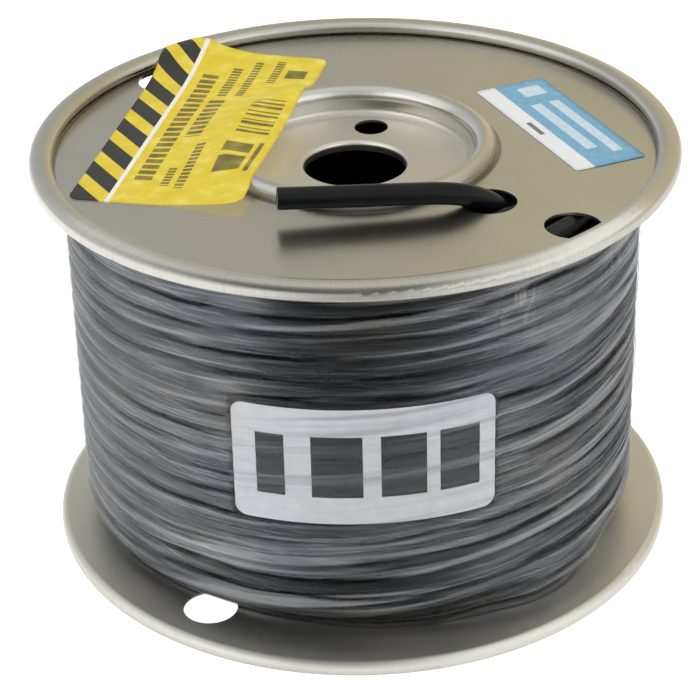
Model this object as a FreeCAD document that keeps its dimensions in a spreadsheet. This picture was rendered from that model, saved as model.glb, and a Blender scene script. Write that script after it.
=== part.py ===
import FreeCAD, Part
import math
import os

import Sketcher

# Wire spool: two stamped steel flanges on a rolled steel barrel, closed by two pressed hub
# plates, wound with black insulated wire, wrapped in stretch film and carrying three labels.
# Millimetres. The spool stands on the rolled rim of its bottom flange at Z = 0, and Z is its axis.

Vector = FreeCAD.Vector

SIZES = (
    # Flanges. A bend's radius is that of the middle of the sheet.
    ("flange_diameter", 140.0),
    ("sheet_gauge", 0.6),
    ("winding_space", 85.0),
    ("shoulder_radius", 1.2),
    ("shoulder_turn", 100.0),
    ("crease_radius", 0.4),
    ("crease_turn", 20.0),
    ("rim_outer_radius", 1.2),
    ("rim_outer_turn", 75.0),
    ("rim_crest_radius", 2.88),
    ("rim_land", 0.7),
    ("rim_crest_turn", 25.0),
    ("rim_inner_radius", 1.1),
    ("rim_inner_turn", 130.0),
    ("wire_hole_diameter", 11.8),
    ("start_hole_offset", 38.8),
    ("start_hole_angle", -45.5),
    ("rim_hole_offset", 58.8),
    ("rim_hole_angle", -42.4),
    ("bottom_flange_turn", -167.2),
    # Barrel, with a stop rib inside each flange and its ends rolled out over the flanges.
    ("barrel_diameter", 52.9),
    ("rib_radius", 0.7),
    ("rib_turn", 50.0),
    ("hub_curl_radius", 2.025),
    ("hub_curl_turn", 80.0),
    ("hub_crest_radius", 2.6),
    ("hub_skirt", 0.56),
    ("seat_clearance", 0.05),
    # Hub plates.
    ("bore_diameter", 22.2),
    ("bore_lip_run", 1.2),
    ("bore_lip_radius", 0.7),
    ("dish_angle", 1.5),
    ("hub_corner_radius", 1.9),
    ("hub_wall_run", 1.9),
    ("hub_rim_rise", 0.4),
    ("drive_hole_diameter", 7.5),
    ("drive_hole_offset", 18.6),
    ("drive_hole_angle", 78.0),
    # Wire and winding.
    ("wire_diameter", 4.7),
    ("conductor_diameter", 3.0),
    ("conductor_clearance", 0.02),
    ("winding_diameter", 125.0),
    # The turns of the outer layer are drawn slimmer than the wire, so that they stand clear.
    ("turn_diameter", 4.25),
    ("turn_gap", 0.45),
    ("layer_end_azimuth", 112.0),
    ("wire_clearance", 0.05),
    ("core_end_clearance", 0.1),
    ("pocket_depth", 9.8),
    ("pocket_clearance", 0.45),
    # Film and labels.
    ("film_thickness", 0.15),
    ("film_margin", 0.2),
    ("label_thickness", 0.12),
    ("label_clearance", 0.05),
    ("front_label_span", 50.4),
    ("front_label_height", 27.2),
    ("front_label_rise", 30.1),
    ("front_label_azimuth", -89.6),
    ("front_label_corner", 2.6),
    ("blue_label_length", 47.2),
    ("blue_label_width", 16.9),
    ("blue_label_inset", 23.8),
    ("blue_label_azimuth", 13.3),
    ("blue_label_turn", -66.8),
    ("blue_label_corner", 0.8),
    ("striped_label_length", 82.0),
    ("striped_label_width", 37.5),
    ("striped_label_offset", 36.4),
    ("striped_label_azimuth", 154.8),
    ("striped_label_turn", 77.3),
    ("striped_label_corner", 2.5),
    ("label_fold_radius", 2.5),
    ("hub_drop_angle", 22.0),
    ("rim_rise_angle", 24.0),
    ("rim_fold_slack", 0.23),
    ("rim_fold_angle", 88.0),
    ("rim_tail", 2.2),
)

# Start lead: the corners of its route in X and Y, and their heights above the top web. It
# stands on the floor of its pocket in the winding, leaves through the start hole and lies
# beside the hub bead.
LEAD_CORNERS = (
    (31.0, -24.0, -4.7),
    (26.9, -27.5, 0.2),
    (20.6, -30.7, 3.6),
    (8.9, -32.2, 4.3),
    (-4.2, -33.1, 4.5),
    (-16.1, -34.3, 5.0),
)
LEAD_BEND_SHARE = 0.45
POCKET_MOUTH = (25.9, -28.0)

doc = FreeCAD.newDocument("wire_spool")
sizes = doc.addObject("Spreadsheet::Sheet", "sizes")
for row, (alias, value) in enumerate(SIZES, start=1):
    sizes.set(f"A{row}", alias)
    sizes.set(f"B{row}", str(value))
    sizes.setAlias(f"B{row}", alias)
doc.recompute()


def size(alias):
    return float(sizes.get(alias))


def new_body(name):
    body = doc.addObject("PartDesign::Body", name)
    body.Label = name
    return body


def new_sketch(body, name, plane):
    sketch = body.newObject("Sketcher::SketchObject", name)
    for feature in body.Origin.OriginFeatures:
        if feature.Role == plane:
            sketch.AttachmentSupport = (feature, [""])
    sketch.MapMode = "FlatFace"
    return sketch


def bind(sketch, name, expression, kind, *elements):
    index = sketch.addConstraint(Sketcher.Constraint(kind, *elements))
    sketch.renameConstraint(index, name)
    sketch.setExpression("Constraints." + name, expression)


def measure(sketch, name, kind, element, point):
    place_of = sketch.getPoint(element, point)
    amount = place_of.x if kind == "DistanceX" else place_of.y
    index = sketch.addConstraint(Sketcher.Constraint(kind, -1, 1, element, point, amount))
    sketch.renameConstraint(index, name)
    sketch.setDriving(index, False)


def polar(radius, degrees):
    angle = math.radians(degrees)
    return Vector(radius * math.cos(angle), radius * math.sin(angle), 0)


# A sheet metal section is a strip of one gauge led through a row of passes. Each pass is a
# straight run, or a bend to the left or right of the way it is heading. A pass gives its kind,
# its length or radius and its turn, then the expressions that bind them, or None where its
# neighbours settle them.
def lay_strip(start, heading, passes):
    point = start
    laid = []
    for kind, amount, turn, _, _ in passes:
        centre = None
        finish = point + polar(amount, heading)
        if kind != "run":
            side = 90 if kind == "left" else -90
            centre = point + polar(amount, heading + side)
            heading += turn if kind == "left" else -turn
            finish = centre + polar(amount, heading - side)
        laid.append((point, finish, centre))
        point = finish
    return laid


def draw_face(sketch, laid, passes, face, gauge_cell, prefix):
    gauge = size(gauge_cell)
    edges = []
    for (start, finish, centre), (kind, amount, turn, _, _) in zip(laid, passes):
        if kind == "run":
            along = finish - start
            heading = math.degrees(math.atan2(along.y, along.x))
            shift = polar(face * gauge / 2, heading + 90)
            index = sketch.addGeometry(Part.LineSegment(start + shift, finish + shift), False)
            edges.append((index, 1, 2))
            continue
        inward = face if kind == "left" else -face
        circle = Part.Circle(centre, Vector(0, 0, 1), amount - inward * gauge / 2)
        from_angle = math.atan2(start.y - centre.y, start.x - centre.x)
        to_angle = math.atan2(finish.y - centre.y, finish.x - centre.x)
        if kind == "left":
            index = sketch.addGeometry(Part.ArcOfCircle(circle, from_angle, to_angle), False)
            edges.append((index, 1, 2))
        else:
            index = sketch.addGeometry(Part.ArcOfCircle(circle, to_angle, from_angle), False)
            edges.append((index, 2, 1))
    for (before, _, last), (after, first, _) in zip(edges, edges[1:]):
        sketch.addConstraint(Sketcher.Constraint("Tangent", before, last, after, first))
    for number, ((index, _, _), (kind, amount, turn, length_cell, turn_cell)) in enumerate(zip(edges, passes)):
        name = f"{prefix}{number}"
        if kind == "run":
            if length_cell:
                bind(sketch, name + "_run", length_cell, "Distance", index, amount)
            continue
        inward = face if kind == "left" else -face
        sign = "-" if inward > 0 else "+"
        bind(sketch, name + "_radius", f"{length_cell} {sign} sizes.{gauge_cell} / 2",
             "Radius", index, amount - inward * gauge / 2)
        if turn_cell:
            bind(sketch, name + "_turn", f"({turn_cell}) * 1 deg", "Angle", index, math.radians(turn))
    return edges


def close_strip(sketch, left, right):
    for (left_index, left_point), (right_index, right_point) in (
        (left[0][:2], right[0][:2]),
        (left[-1][::2], right[-1][::2]),
    ):
        start = sketch.getPoint(left_index, left_point)
        finish = sketch.getPoint(right_index, right_point)
        cap = sketch.addGeometry(Part.LineSegment(start, finish), False)
        sketch.addConstraint(Sketcher.Constraint("Coincident", cap, 1, left_index, left_point))
        sketch.addConstraint(Sketcher.Constraint("Coincident", cap, 2, right_index, right_point))


def run(cell=None, length=None):
    if cell is None:
        return ("run", length, 0, None, None)
    return ("run", size(cell), 0, f"sizes.{cell}", None)


def bend(side, radius_cell, turn_cell):
    return (side, size(radius_cell), size(turn_cell), f"sizes.{radius_cell}", f"sizes.{turn_cell}")


def level_bend(side, radius_cell, turn):
    return (side, size(radius_cell), turn, f"sizes.{radius_cell}", None)


def revolve(body, sketch, name):
    turned = body.newObject("PartDesign::Revolution", name)
    turned.Profile = sketch
    turned.ReferenceAxis = (sketch, ["V_Axis"])
    turned.Angle = 360
    body.Tip = turned
    return turned


def cut_round_hole(body, name, offset_cell, angle_cell, diameter_cell, copies=1, web_only=False):
    sketch = new_sketch(body, name + "_sketch", "XY_Plane")
    centre = polar(size(offset_cell), size(angle_cell))
    circle = sketch.addGeometry(Part.Circle(centre, Vector(0, 0, 1), size(diameter_cell) / 2), False)
    ray = sketch.addGeometry(Part.LineSegment(Vector(0, 0, 0), centre), True)
    sketch.addConstraint(Sketcher.Constraint("Coincident", ray, 1, -1, 1))
    sketch.addConstraint(Sketcher.Constraint("Coincident", ray, 2, circle, 3))
    bind(sketch, "diameter", f"sizes.{diameter_cell}", "Diameter", circle, size(diameter_cell))
    bind(sketch, "offset", f"sizes.{offset_cell}", "Distance", ray, size(offset_cell))
    bind(sketch, "angle", f"sizes.{angle_cell} * 1 deg", "Angle", ray, math.radians(size(angle_cell)))
    pocket = body.newObject("PartDesign::Pocket", name)
    pocket.Profile = sketch
    pocket.Type = "ThroughAll"
    pocket.Midplane = True
    if web_only:
        pocket.Type = "Length"
        pocket.setExpression("Length", "2 * sizes.sheet_gauge")
    body.Tip = pocket
    if copies > 1:
        pattern = body.newObject("PartDesign::PolarPattern", name + "_pattern")
        pattern.Originals = [pocket]
        pattern.Axis = (sketch, ["N_Axis"])
        pattern.Angle = 360
        pattern.Occurrences = copies
        body.Tip = pattern


# Flange: a flat web that turns up at its shoulder, past a shallow crease, into an oval roll
# with a narrow level land. The roll's raw edge comes round inside and stops above the web.
def make_flange(name):
    body = new_body(name)
    section = new_sketch(body, name + "_section", "XZ_Plane")
    gauge = size("sheet_gauge")
    web_start = size("barrel_diameter") / 2 + size("seat_clearance")
    outer_bend_centre = size("flange_diameter") / 2 - gauge / 2 - size("rim_outer_radius")
    crest_turn = 180 - size("shoulder_turn") + size("crease_turn") - size("rim_outer_turn")

    def passes(web_length):
        return (
            run(length=web_length),
            bend("left", "shoulder_radius", "shoulder_turn"),
            bend("right", "crease_radius", "crease_turn"),
            bend("left", "rim_outer_radius", "rim_outer_turn"),
            level_bend("left", "rim_crest_radius", crest_turn),
            run("rim_land"),
            bend("left", "rim_crest_radius", "rim_crest_turn"),
            bend("left", "rim_inner_radius", "rim_inner_turn"),
        )

    _, _, _, (_, _, short_centre), *_ = lay_strip(Vector(web_start, 0, 0), 0, passes(1.0))
    strip = passes(1.0 + outer_bend_centre - short_centre.x)
    laid = lay_strip(Vector(web_start, 0, 0), 0, strip)
    faces = []
    for face, prefix in ((1, "inner"), (-1, "outer")):
        edges = draw_face(section, laid, strip, face, "sheet_gauge", prefix)
        web, _, _, outer_bend, _, land, _, roll_bend = [edge for edge, _, _ in edges]
        section.addConstraint(Sketcher.Constraint("Horizontal", web))
        section.addConstraint(Sketcher.Constraint("Horizontal", land))
        bind(section, prefix + "_start", "sizes.barrel_diameter / 2 + sizes.seat_clearance",
             "DistanceX", -1, 1, web, 1, web_start)
        sign = "" if face > 0 else "-"
        bind(section, prefix + "_level", f"{sign}sizes.sheet_gauge / 2",
             "DistanceY", -1, 1, web, 1, face * gauge / 2)
        bind(section, prefix + "_reach",
             "sizes.flange_diameter / 2 - sizes.sheet_gauge / 2 - sizes.rim_outer_radius",
             "DistanceX", -1, 1, outer_bend, 3, outer_bend_centre)
        faces.append(edges)
    close_strip(section, *faces)
    measure(section, "rim_height", "DistanceY", land, 1)
    measure(section, "roll_centre", "DistanceX", roll_bend, 3)
    revolve(body, section, name + "_stamping")
    cut_round_hole(body, name + "_start_hole", "start_hole_offset", "start_hole_angle",
                   "wire_hole_diameter")
    cut_round_hole(body, name + "_rim_hole", "rim_hole_offset", "rim_hole_angle",
                   "wire_hole_diameter", copies=2, web_only=True)
    return body


top_flange = make_flange("top_flange")
bottom_flange = make_flange("bottom_flange")
doc.recompute()

# Heights above the plane that the rim of the bottom flange stands on. The two flanges are one
# stamping, so the rim height of the top one also sets the bottom one on the floor.
RIM_HEIGHT = "top_flange_section.Constraints.rim_height"
FLOOR_OF_WINDING = f"({RIM_HEIGHT} + sizes.sheet_gauge * 0.5 mm)"
MID_HEIGHT = f"({FLOOR_OF_WINDING} + sizes.winding_space * 0.5 mm)"
TOP_OF_WINDING = f"({FLOOR_OF_WINDING} + sizes.winding_space * 1 mm)"
TOP_WEB_FACE = f"({TOP_OF_WINDING} + sizes.sheet_gauge * 1 mm)"

rim_height = doc.getObject("top_flange_section").getDatum("rim_height").Value
winding_floor = rim_height + size("sheet_gauge") / 2
winding_top = winding_floor + size("winding_space")
web_face = winding_top + size("sheet_gauge")


def place(item, height, degrees=0.0, flipped=False):
    turn = FreeCAD.Rotation(Vector(0, 0, 1), degrees)
    if flipped:
        turn = turn.multiply(FreeCAD.Rotation(Vector(1, 0, 0), 180))
    item.Placement = FreeCAD.Placement(Vector(0, 0, 0), turn)
    item.setExpression(".Placement.Base.z", height)


place(bottom_flange, RIM_HEIGHT, size("bottom_flange_turn"), flipped=True)
place(top_flange, f"{TOP_OF_WINDING} + sizes.sheet_gauge * 0.5 mm")


# Barrel: half of a rolled steel tube, from its middle up: a stop rib that the flange sits on,
# a neck through the flange, and an end rolled outwards in a half round that closes on the web.
def make_barrel(name):
    body = new_body(name)
    section = new_sketch(body, name + "_section", "XZ_Plane")
    gauge = size("sheet_gauge")
    wall = (size("barrel_diameter") - gauge) / 2
    rib_top = size("winding_space") / 2
    rib_length = 4 * size("rib_radius") * math.sin(math.radians(size("rib_turn")))
    curl_level = rib_top + gauge + size("seat_clearance") + size("hub_skirt")
    strip = (
        run(length=rib_top - rib_length),
        bend("right", "rib_radius", "rib_turn"),
        bend("left", "rib_radius", "rib_turn"),
        bend("left", "rib_radius", "rib_turn"),
        bend("right", "rib_radius", "rib_turn"),
        run(length=curl_level - rib_top),
        bend("right", "hub_curl_radius", "hub_curl_turn"),
        level_bend("right", "hub_crest_radius", 180 - 2 * size("hub_curl_turn")),
        bend("right", "hub_curl_radius", "hub_curl_turn"),
        run("hub_skirt"),
    )
    laid = lay_strip(Vector(wall, 0, 0), 90, strip)
    faces = []
    for face, prefix in ((1, "inner"), (-1, "outer")):
        edges = draw_face(section, laid, strip, face, "sheet_gauge", prefix)
        tube, _, _, _, last_rib_bend, _, curl, crest, closing, skirt = [edge for edge, _, _ in edges]
        section.addConstraint(Sketcher.Constraint("Vertical", tube))
        section.addConstraint(Sketcher.Constraint("PointOnObject", tube, 1, -1))
        section.addConstraint(Sketcher.Constraint("Vertical", skirt))
        reach = "sizes.barrel_diameter / 2"
        if face > 0:
            reach += " - sizes.sheet_gauge"
        bind(section, prefix + "_wall", reach, "DistanceX", -1, 1, tube, 1, wall - face * gauge / 2)
        bind(section, prefix + "_rib_top", "sizes.winding_space / 2",
             "DistanceY", -1, 1, last_rib_bend, 1, rib_top)
        bind(section, prefix + "_curl_level",
             "sizes.winding_space / 2 + sizes.sheet_gauge + sizes.seat_clearance + sizes.hub_skirt",
             "DistanceY", -1, 1, curl, 3, curl_level)
        faces.append(edges)
    close_strip(section, *faces)
    measure(section, "bead_centre", "DistanceX", closing, 3)
    measure(section, "crest_centre", "DistanceY", crest, 3)
    upper_half = revolve(body, section, name + "_upper_half")
    doc.recompute()
    mirror = body.newObject("PartDesign::Mirrored", name + "_lower_half")
    mirror.Originals = [upper_half]
    mirror.MirrorPlane = (section, ["H_Axis"])
    body.Tip = mirror
    return body


barrel = make_barrel("barrel")
place(barrel, MID_HEIGHT)
doc.recompute()
barrel_section = doc.getObject("barrel_section")
CREST_RISE = ("(barrel_section.Constraints.crest_centre / 1 mm + sizes.hub_crest_radius + sizes.sheet_gauge / 2"
              " - sizes.winding_space / 2)")
bead_centre = barrel_section.getDatum("bead_centre").Value
roll_centre = doc.getObject("top_flange_section").getDatum("roll_centre").Value
crest_rise = (barrel_section.getDatum("crest_centre").Value + size("hub_crest_radius")
              + size("sheet_gauge") / 2 - size("winding_space") / 2)
rib_reach = (size("barrel_diameter") / 2
             + 2 * size("rib_radius") * (1 - math.cos(math.radians(size("rib_turn")))))
RIB_REACH = "(sizes.barrel_diameter / 2 + 2 * sizes.rib_radius * (1 - cos(sizes.rib_turn * 1 deg)))"


# Hub plate: a shallow pressed cup inside the end of the barrel, drawn from its rim down: the
# wall, the corner, a slightly dished floor, and the bore with its edge turned in.
def make_hub_plate(name):
    body = new_body(name)
    section = new_sketch(body, name + "_section", "XZ_Plane")
    gauge = size("sheet_gauge")
    wall = size("barrel_diameter") / 2 - 1.5 * gauge - size("seat_clearance")
    bore = (size("bore_diameter") + gauge) / 2
    turn = 90 - size("dish_angle")
    turn_cell = "90 - sizes.dish_angle"

    def passes(floor_length):
        return (
            run("hub_wall_run"),
            ("right", size("hub_corner_radius"), turn, "sizes.hub_corner_radius", turn_cell),
            run(length=floor_length),
            ("left", size("bore_lip_radius"), turn, "sizes.bore_lip_radius", turn_cell),
            run("bore_lip_run"),
        )

    short = lay_strip(Vector(wall, 0, 0), -90, passes(1.0))
    floor_length = 1.0 + (short[-1][0].x - bore) / math.cos(math.radians(size("dish_angle")))
    strip = passes(floor_length)
    laid = lay_strip(Vector(wall, 0, 0), -90, strip)
    faces = []
    for face, prefix in ((1, "inner"), (-1, "outer")):
        edges = draw_face(section, laid, strip, -face, "sheet_gauge", prefix)
        upright = edges[0][0]
        section.addConstraint(Sketcher.Constraint("Vertical", upright))
        section.addConstraint(Sketcher.Constraint("PointOnObject", upright, 1, -1))
        share = "2" if face > 0 else "1"
        bind(section, prefix + "_wall",
             f"sizes.barrel_diameter / 2 - {share} * sizes.sheet_gauge - sizes.seat_clearance",
             "DistanceX", -1, 1, upright, 1, wall - face * gauge / 2)
        lip = edges[-1][0]
        reach = "sizes.bore_diameter / 2"
        if face < 0:
            reach += " + sizes.sheet_gauge"
        bind(section, prefix + "_bore", reach, "DistanceX", -1, 1, lip, 2, bore - face * gauge / 2)
        faces.append(edges)
    close_strip(section, *faces)
    revolve(body, section, name + "_cup")
    cut_round_hole(body, name + "_drive_hole", "drive_hole_offset", "drive_hole_angle",
                   "drive_hole_diameter")
    return body


top_hub_plate = make_hub_plate("top_hub_plate")
place(top_hub_plate, f"{TOP_WEB_FACE} + sizes.hub_rim_rise * 1 mm")
bottom_hub_plate = make_hub_plate("bottom_hub_plate")
place(bottom_hub_plate, f"{RIM_HEIGHT} - (sizes.sheet_gauge / 2 + sizes.hub_rim_rise) * 1 mm",
      size("bottom_flange_turn"), flipped=True)


def ring_sketch(body, name, inner, outer, low, high):
    sketch = new_sketch(body, name, "XZ_Plane")
    corners = (
        Vector(inner[0], low[0], 0),
        Vector(outer[0], low[0], 0),
        Vector(outer[0], high[0], 0),
        Vector(inner[0], high[0], 0),
    )
    lines = []
    for start, finish in zip(corners, corners[1:] + corners[:1]):
        lines.append(sketch.addGeometry(Part.LineSegment(start, finish), False))
    for before, after in zip(lines, lines[1:] + lines[:1]):
        sketch.addConstraint(Sketcher.Constraint("Coincident", before, 2, after, 1))
    bottom, outside, top, inside = lines
    sketch.addConstraint(Sketcher.Constraint("Horizontal", bottom))
    sketch.addConstraint(Sketcher.Constraint("Horizontal", top))
    sketch.addConstraint(Sketcher.Constraint("Vertical", inside))
    sketch.addConstraint(Sketcher.Constraint("Vertical", outside))
    bind(sketch, "inner_radius", inner[1], "DistanceX", -1, 1, bottom, 1, inner[0])
    bind(sketch, "outer_radius", outer[1], "DistanceX", -1, 1, bottom, 2, outer[0])
    bind(sketch, "low", low[1], "DistanceY", -1, 1, bottom, 1, low[0])
    bind(sketch, "high", high[1], "DistanceY", -1, 1, top, 1, high[0])
    return sketch


# Winding core: the inner layers of wire as one solid, from the barrel's ribs to the outer
# layer, with a pocket under the start hole where the start lead comes up. Its own frame is at
# its top face.
core_height = size("winding_space") - 2 * size("core_end_clearance")
core_outer = size("winding_diameter") / 2 - size("turn_diameter") - size("wire_clearance")
winding_core = new_body("winding_core")
core_section = ring_sketch(
    winding_core, "winding_core_section",
    (rib_reach + size("wire_clearance"), f"{RIB_REACH} + sizes.wire_clearance"),
    (core_outer, "sizes.winding_diameter / 2 - sizes.turn_diameter - sizes.wire_clearance"),
    (-core_height, "-(sizes.winding_space - 2 * sizes.core_end_clearance)"),
    (0.0, "0"),
)
revolve(winding_core, core_section, "winding_core_ring")

pocket_near = Vector(LEAD_CORNERS[0][0], LEAD_CORNERS[0][1], 0)
pocket_far = Vector(POCKET_MOUTH[0], POCKET_MOUTH[1], 0)
pocket_radius = size("wire_diameter") / 2 + size("pocket_clearance")
pocket_sketch = new_sketch(winding_core, "lead_pocket_sketch", "XY_Plane")
pocket_heading = math.atan2(pocket_far.y - pocket_near.y, pocket_far.x - pocket_near.x)
ends = []
for centre, opening in ((pocket_near, pocket_heading + math.pi / 2), (pocket_far, pocket_heading - math.pi / 2)):
    circle = Part.Circle(centre, Vector(0, 0, 1), pocket_radius)
    ends.append(pocket_sketch.addGeometry(Part.ArcOfCircle(circle, opening, opening + math.pi), False))
near_end, far_end = ends
for start_arc, finish_arc in ((near_end, far_end), (far_end, near_end)):
    start = pocket_sketch.getPoint(start_arc, 2)
    finish = pocket_sketch.getPoint(finish_arc, 1)
    side = pocket_sketch.addGeometry(Part.LineSegment(start, finish), False)
    pocket_sketch.addConstraint(Sketcher.Constraint("Tangent", start_arc, 2, side, 1))
    pocket_sketch.addConstraint(Sketcher.Constraint("Tangent", side, 2, finish_arc, 1))
for end, centre in ((near_end, pocket_near), (far_end, pocket_far)):
    pocket_sketch.addConstraint(Sketcher.Constraint("DistanceX", -1, 1, end, 3, centre.x))
    pocket_sketch.addConstraint(Sketcher.Constraint("DistanceY", -1, 1, end, 3, centre.y))
bind(pocket_sketch, "pocket_radius", "sizes.wire_diameter / 2 + sizes.pocket_clearance",
     "Radius", near_end, pocket_radius)
lead_pocket = winding_core.newObject("PartDesign::Pocket", "lead_pocket")
lead_pocket.Profile = pocket_sketch
lead_pocket.Type = "Length"
lead_pocket.setExpression("Length", "sizes.pocket_depth")
winding_core.Tip = lead_pocket
place(winding_core, f"{TOP_OF_WINDING} - sizes.core_end_clearance * 1 mm")


def tube_along(path, diameter):
    start = path.Edges[0].valueAt(path.Edges[0].FirstParameter)
    way = path.Edges[0].tangentAt(path.Edges[0].FirstParameter)
    profile = Part.Wire(Part.makeCircle(diameter / 2, start, way))
    shell = Part.BRepOffsetAPI.MakePipeShell(path)
    shell.add(profile)
    shell.build()
    shell.makeSolid()
    return shell.shape()


def check_tube(name, tube, path, diameter):
    expected = math.pi * diameter ** 2 / 4 * path.Length
    print(f"{name}: length {path.Length:.1f} mm, volume {tube.Volume:.0f} of {expected:.0f} mm3")


def add_shape(name, shape):
    feature = doc.addObject("Part::Feature", name)
    feature.Label = name
    feature.Shape = shape
    return feature


# Outer layer of the winding: one wire that climbs from the bottom flange to the top one in
# whole turns, drawn as two arcs to each half turn, and runs straight at both ends. Its ends
# are at the back, short of a rim hole of the top flange.
coil_radius = (size("winding_diameter") - size("turn_diameter")) / 2
coil_height = size("winding_space") - 2 * size("core_end_clearance") - size("turn_diameter")
coil_turns = int(coil_height / (size("turn_diameter") + size("turn_gap")))
coil_pitch = coil_height / coil_turns
coil_slope = math.atan2(coil_pitch, 2 * math.pi * coil_radius)


def coil_point(half_turns):
    angle = math.pi * half_turns + math.radians(size("layer_end_azimuth"))
    height = coil_pitch * half_turns / 2 - coil_height / 2
    return Vector(coil_radius * math.cos(angle), coil_radius * math.sin(angle), height)


def coil_heading(half_turns):
    angle = math.pi * half_turns + math.radians(size("layer_end_azimuth"))
    level = math.cos(coil_slope)
    return Vector(-level * math.sin(angle), level * math.cos(angle), math.sin(coil_slope))


def tangent_arc(start, heading, finish):
    chord = finish - start
    inward = chord - heading * chord.dot(heading)
    inward.normalize()
    radius = chord.dot(chord) / (2 * chord.dot(inward))
    centre = start + inward * radius
    outward = (start - centre) + (finish - centre)
    outward.normalize()
    return Part.Arc(start, centre + outward * radius, finish).toShape()


def biarc(start, start_heading, finish, finish_heading):
    gap = finish - start
    square = 2 * (start_heading.dot(finish_heading) - 1)
    linear = -2 * gap.dot(start_heading + finish_heading)
    reach = (-linear - math.sqrt(linear ** 2 - 4 * square * gap.dot(gap))) / (2 * square)
    joint = (start + start_heading * reach + finish - finish_heading * reach) * 0.5
    first = tangent_arc(start, start_heading, joint)
    second = tangent_arc(finish, finish_heading * -1, joint)
    second.reverse()
    return [first, second]


coil_edges = []
lead_in = coil_point(0) - coil_heading(0) * size("turn_diameter")
coil_edges.append(Part.LineSegment(lead_in, coil_point(0)).toShape())
for half_turn in range(2 * coil_turns):
    coil_edges += biarc(coil_point(half_turn), coil_heading(half_turn),
                        coil_point(half_turn + 1), coil_heading(half_turn + 1))
last = 2 * coil_turns
lead_out = coil_point(last) + coil_heading(last) * size("turn_diameter")
coil_edges.append(Part.LineSegment(coil_point(last), lead_out).toShape())
coil_path = Part.Wire(coil_edges)
coil_tube = tube_along(coil_path, size("turn_diameter"))
check_tube("winding_outer_layer", coil_tube, coil_path, size("turn_diameter"))

samples = []
walked = 0.0
for edge in coil_edges:
    for point in edge.discretize(25)[:-1]:
        samples.append(point)
coil_steps_in_turn = 4 * 24
least = min(
    (samples[i] - samples[j]).Length
    for i in range(0, len(samples), 2)
    for j in range(i + coil_steps_in_turn - 12, min(i + coil_steps_in_turn + 12, len(samples)))
)
print(f"winding_outer_layer: {coil_turns} turns, pitch {coil_pitch:.3f} mm,"
      f" least gap to itself {least - size('turn_diameter'):.3f} mm")

winding_outer_layer = add_shape("winding_outer_layer", coil_tube)
place(winding_outer_layer, MID_HEIGHT)


# Start lead: the inner end of the wire, with straight runs joined by tangent arcs. Its own
# frame is at the outside of the top web.
lead_floor = (size("wire_clearance") - size("sheet_gauge") - size("core_end_clearance")
              - size("pocket_depth"))
corners = [Vector(LEAD_CORNERS[0][0], LEAD_CORNERS[0][1], lead_floor)]
corners += [Vector(*corner) for corner in LEAD_CORNERS]
lead_edges = []
position = corners[0]
radii = []
for before, corner, after in zip(corners, corners[1:], corners[2:]):
    way_in = (corner - before).normalize()
    way_out = (after - corner).normalize()
    shorter = min((corner - before).Length, (after - corner).Length)
    setback = LEAD_BEND_SHARE * shorter
    half_turn = math.acos(way_in.dot(way_out)) / 2
    radii.append(setback / math.tan(half_turn))
    bend_start = corner - way_in * setback
    bend_finish = corner + way_out * setback
    lead_edges.append(Part.LineSegment(position, bend_start).toShape())
    lead_edges.append(tangent_arc(bend_start, way_in, bend_finish))
    position = bend_finish
lead_edges.append(Part.LineSegment(position, corners[-1]).toShape())
lead_path = Part.Wire(lead_edges)
print("start lead bend radii:", ", ".join(f"{radius:.1f}" for radius in radii), "mm")

jacket_outside = tube_along(lead_path, size("wire_diameter"))
jacket_inside = tube_along(lead_path, size("conductor_diameter"))
check_tube("start lead outside", jacket_outside, lead_path, size("wire_diameter"))
check_tube("start lead inside", jacket_inside, lead_path, size("conductor_diameter"))
start_lead_jacket = add_shape("start_lead_jacket", jacket_outside.cut(jacket_inside))
place(start_lead_jacket, TOP_WEB_FACE)
conductor = size("conductor_diameter") - 2 * size("conductor_clearance")
start_lead_conductor = add_shape("start_lead_conductor", tube_along(lead_path, conductor))
place(start_lead_conductor, TOP_WEB_FACE)


# Stretch film: one thin wrap outside the wire's end and the front label.
film_height = size("winding_space") - 2 * size("film_margin")
end_reach = math.hypot(coil_radius, size("turn_diameter")) + size("turn_diameter") / 2
END_REACH = ("(sqrt(((sizes.winding_diameter - sizes.turn_diameter) / 2) ^ 2 + sizes.turn_diameter ^ 2)"
             " + sizes.turn_diameter / 2)")
label_reach = size("winding_diameter") / 2 + size("label_clearance") + size("label_thickness")
LABEL_REACH = "(sizes.winding_diameter / 2 + sizes.label_clearance + sizes.label_thickness)"
film_inner = max(end_reach, label_reach) + size("wire_clearance")
FILM_INNER = f"max({END_REACH}; {LABEL_REACH}) + sizes.wire_clearance"
stretch_film = new_body("stretch_film")
film_section = ring_sketch(
    stretch_film, "stretch_film_section",
    (film_inner, FILM_INNER),
    (film_inner + size("film_thickness"), f"{FILM_INNER} + sizes.film_thickness"),
    (-film_height / 2, "-(sizes.winding_space / 2 - sizes.film_margin)"),
    (film_height / 2, "sizes.winding_space / 2 - sizes.film_margin"),
)
revolve(stretch_film, film_section, "stretch_film_wrap")
place(stretch_film, MID_HEIGHT)


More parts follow.
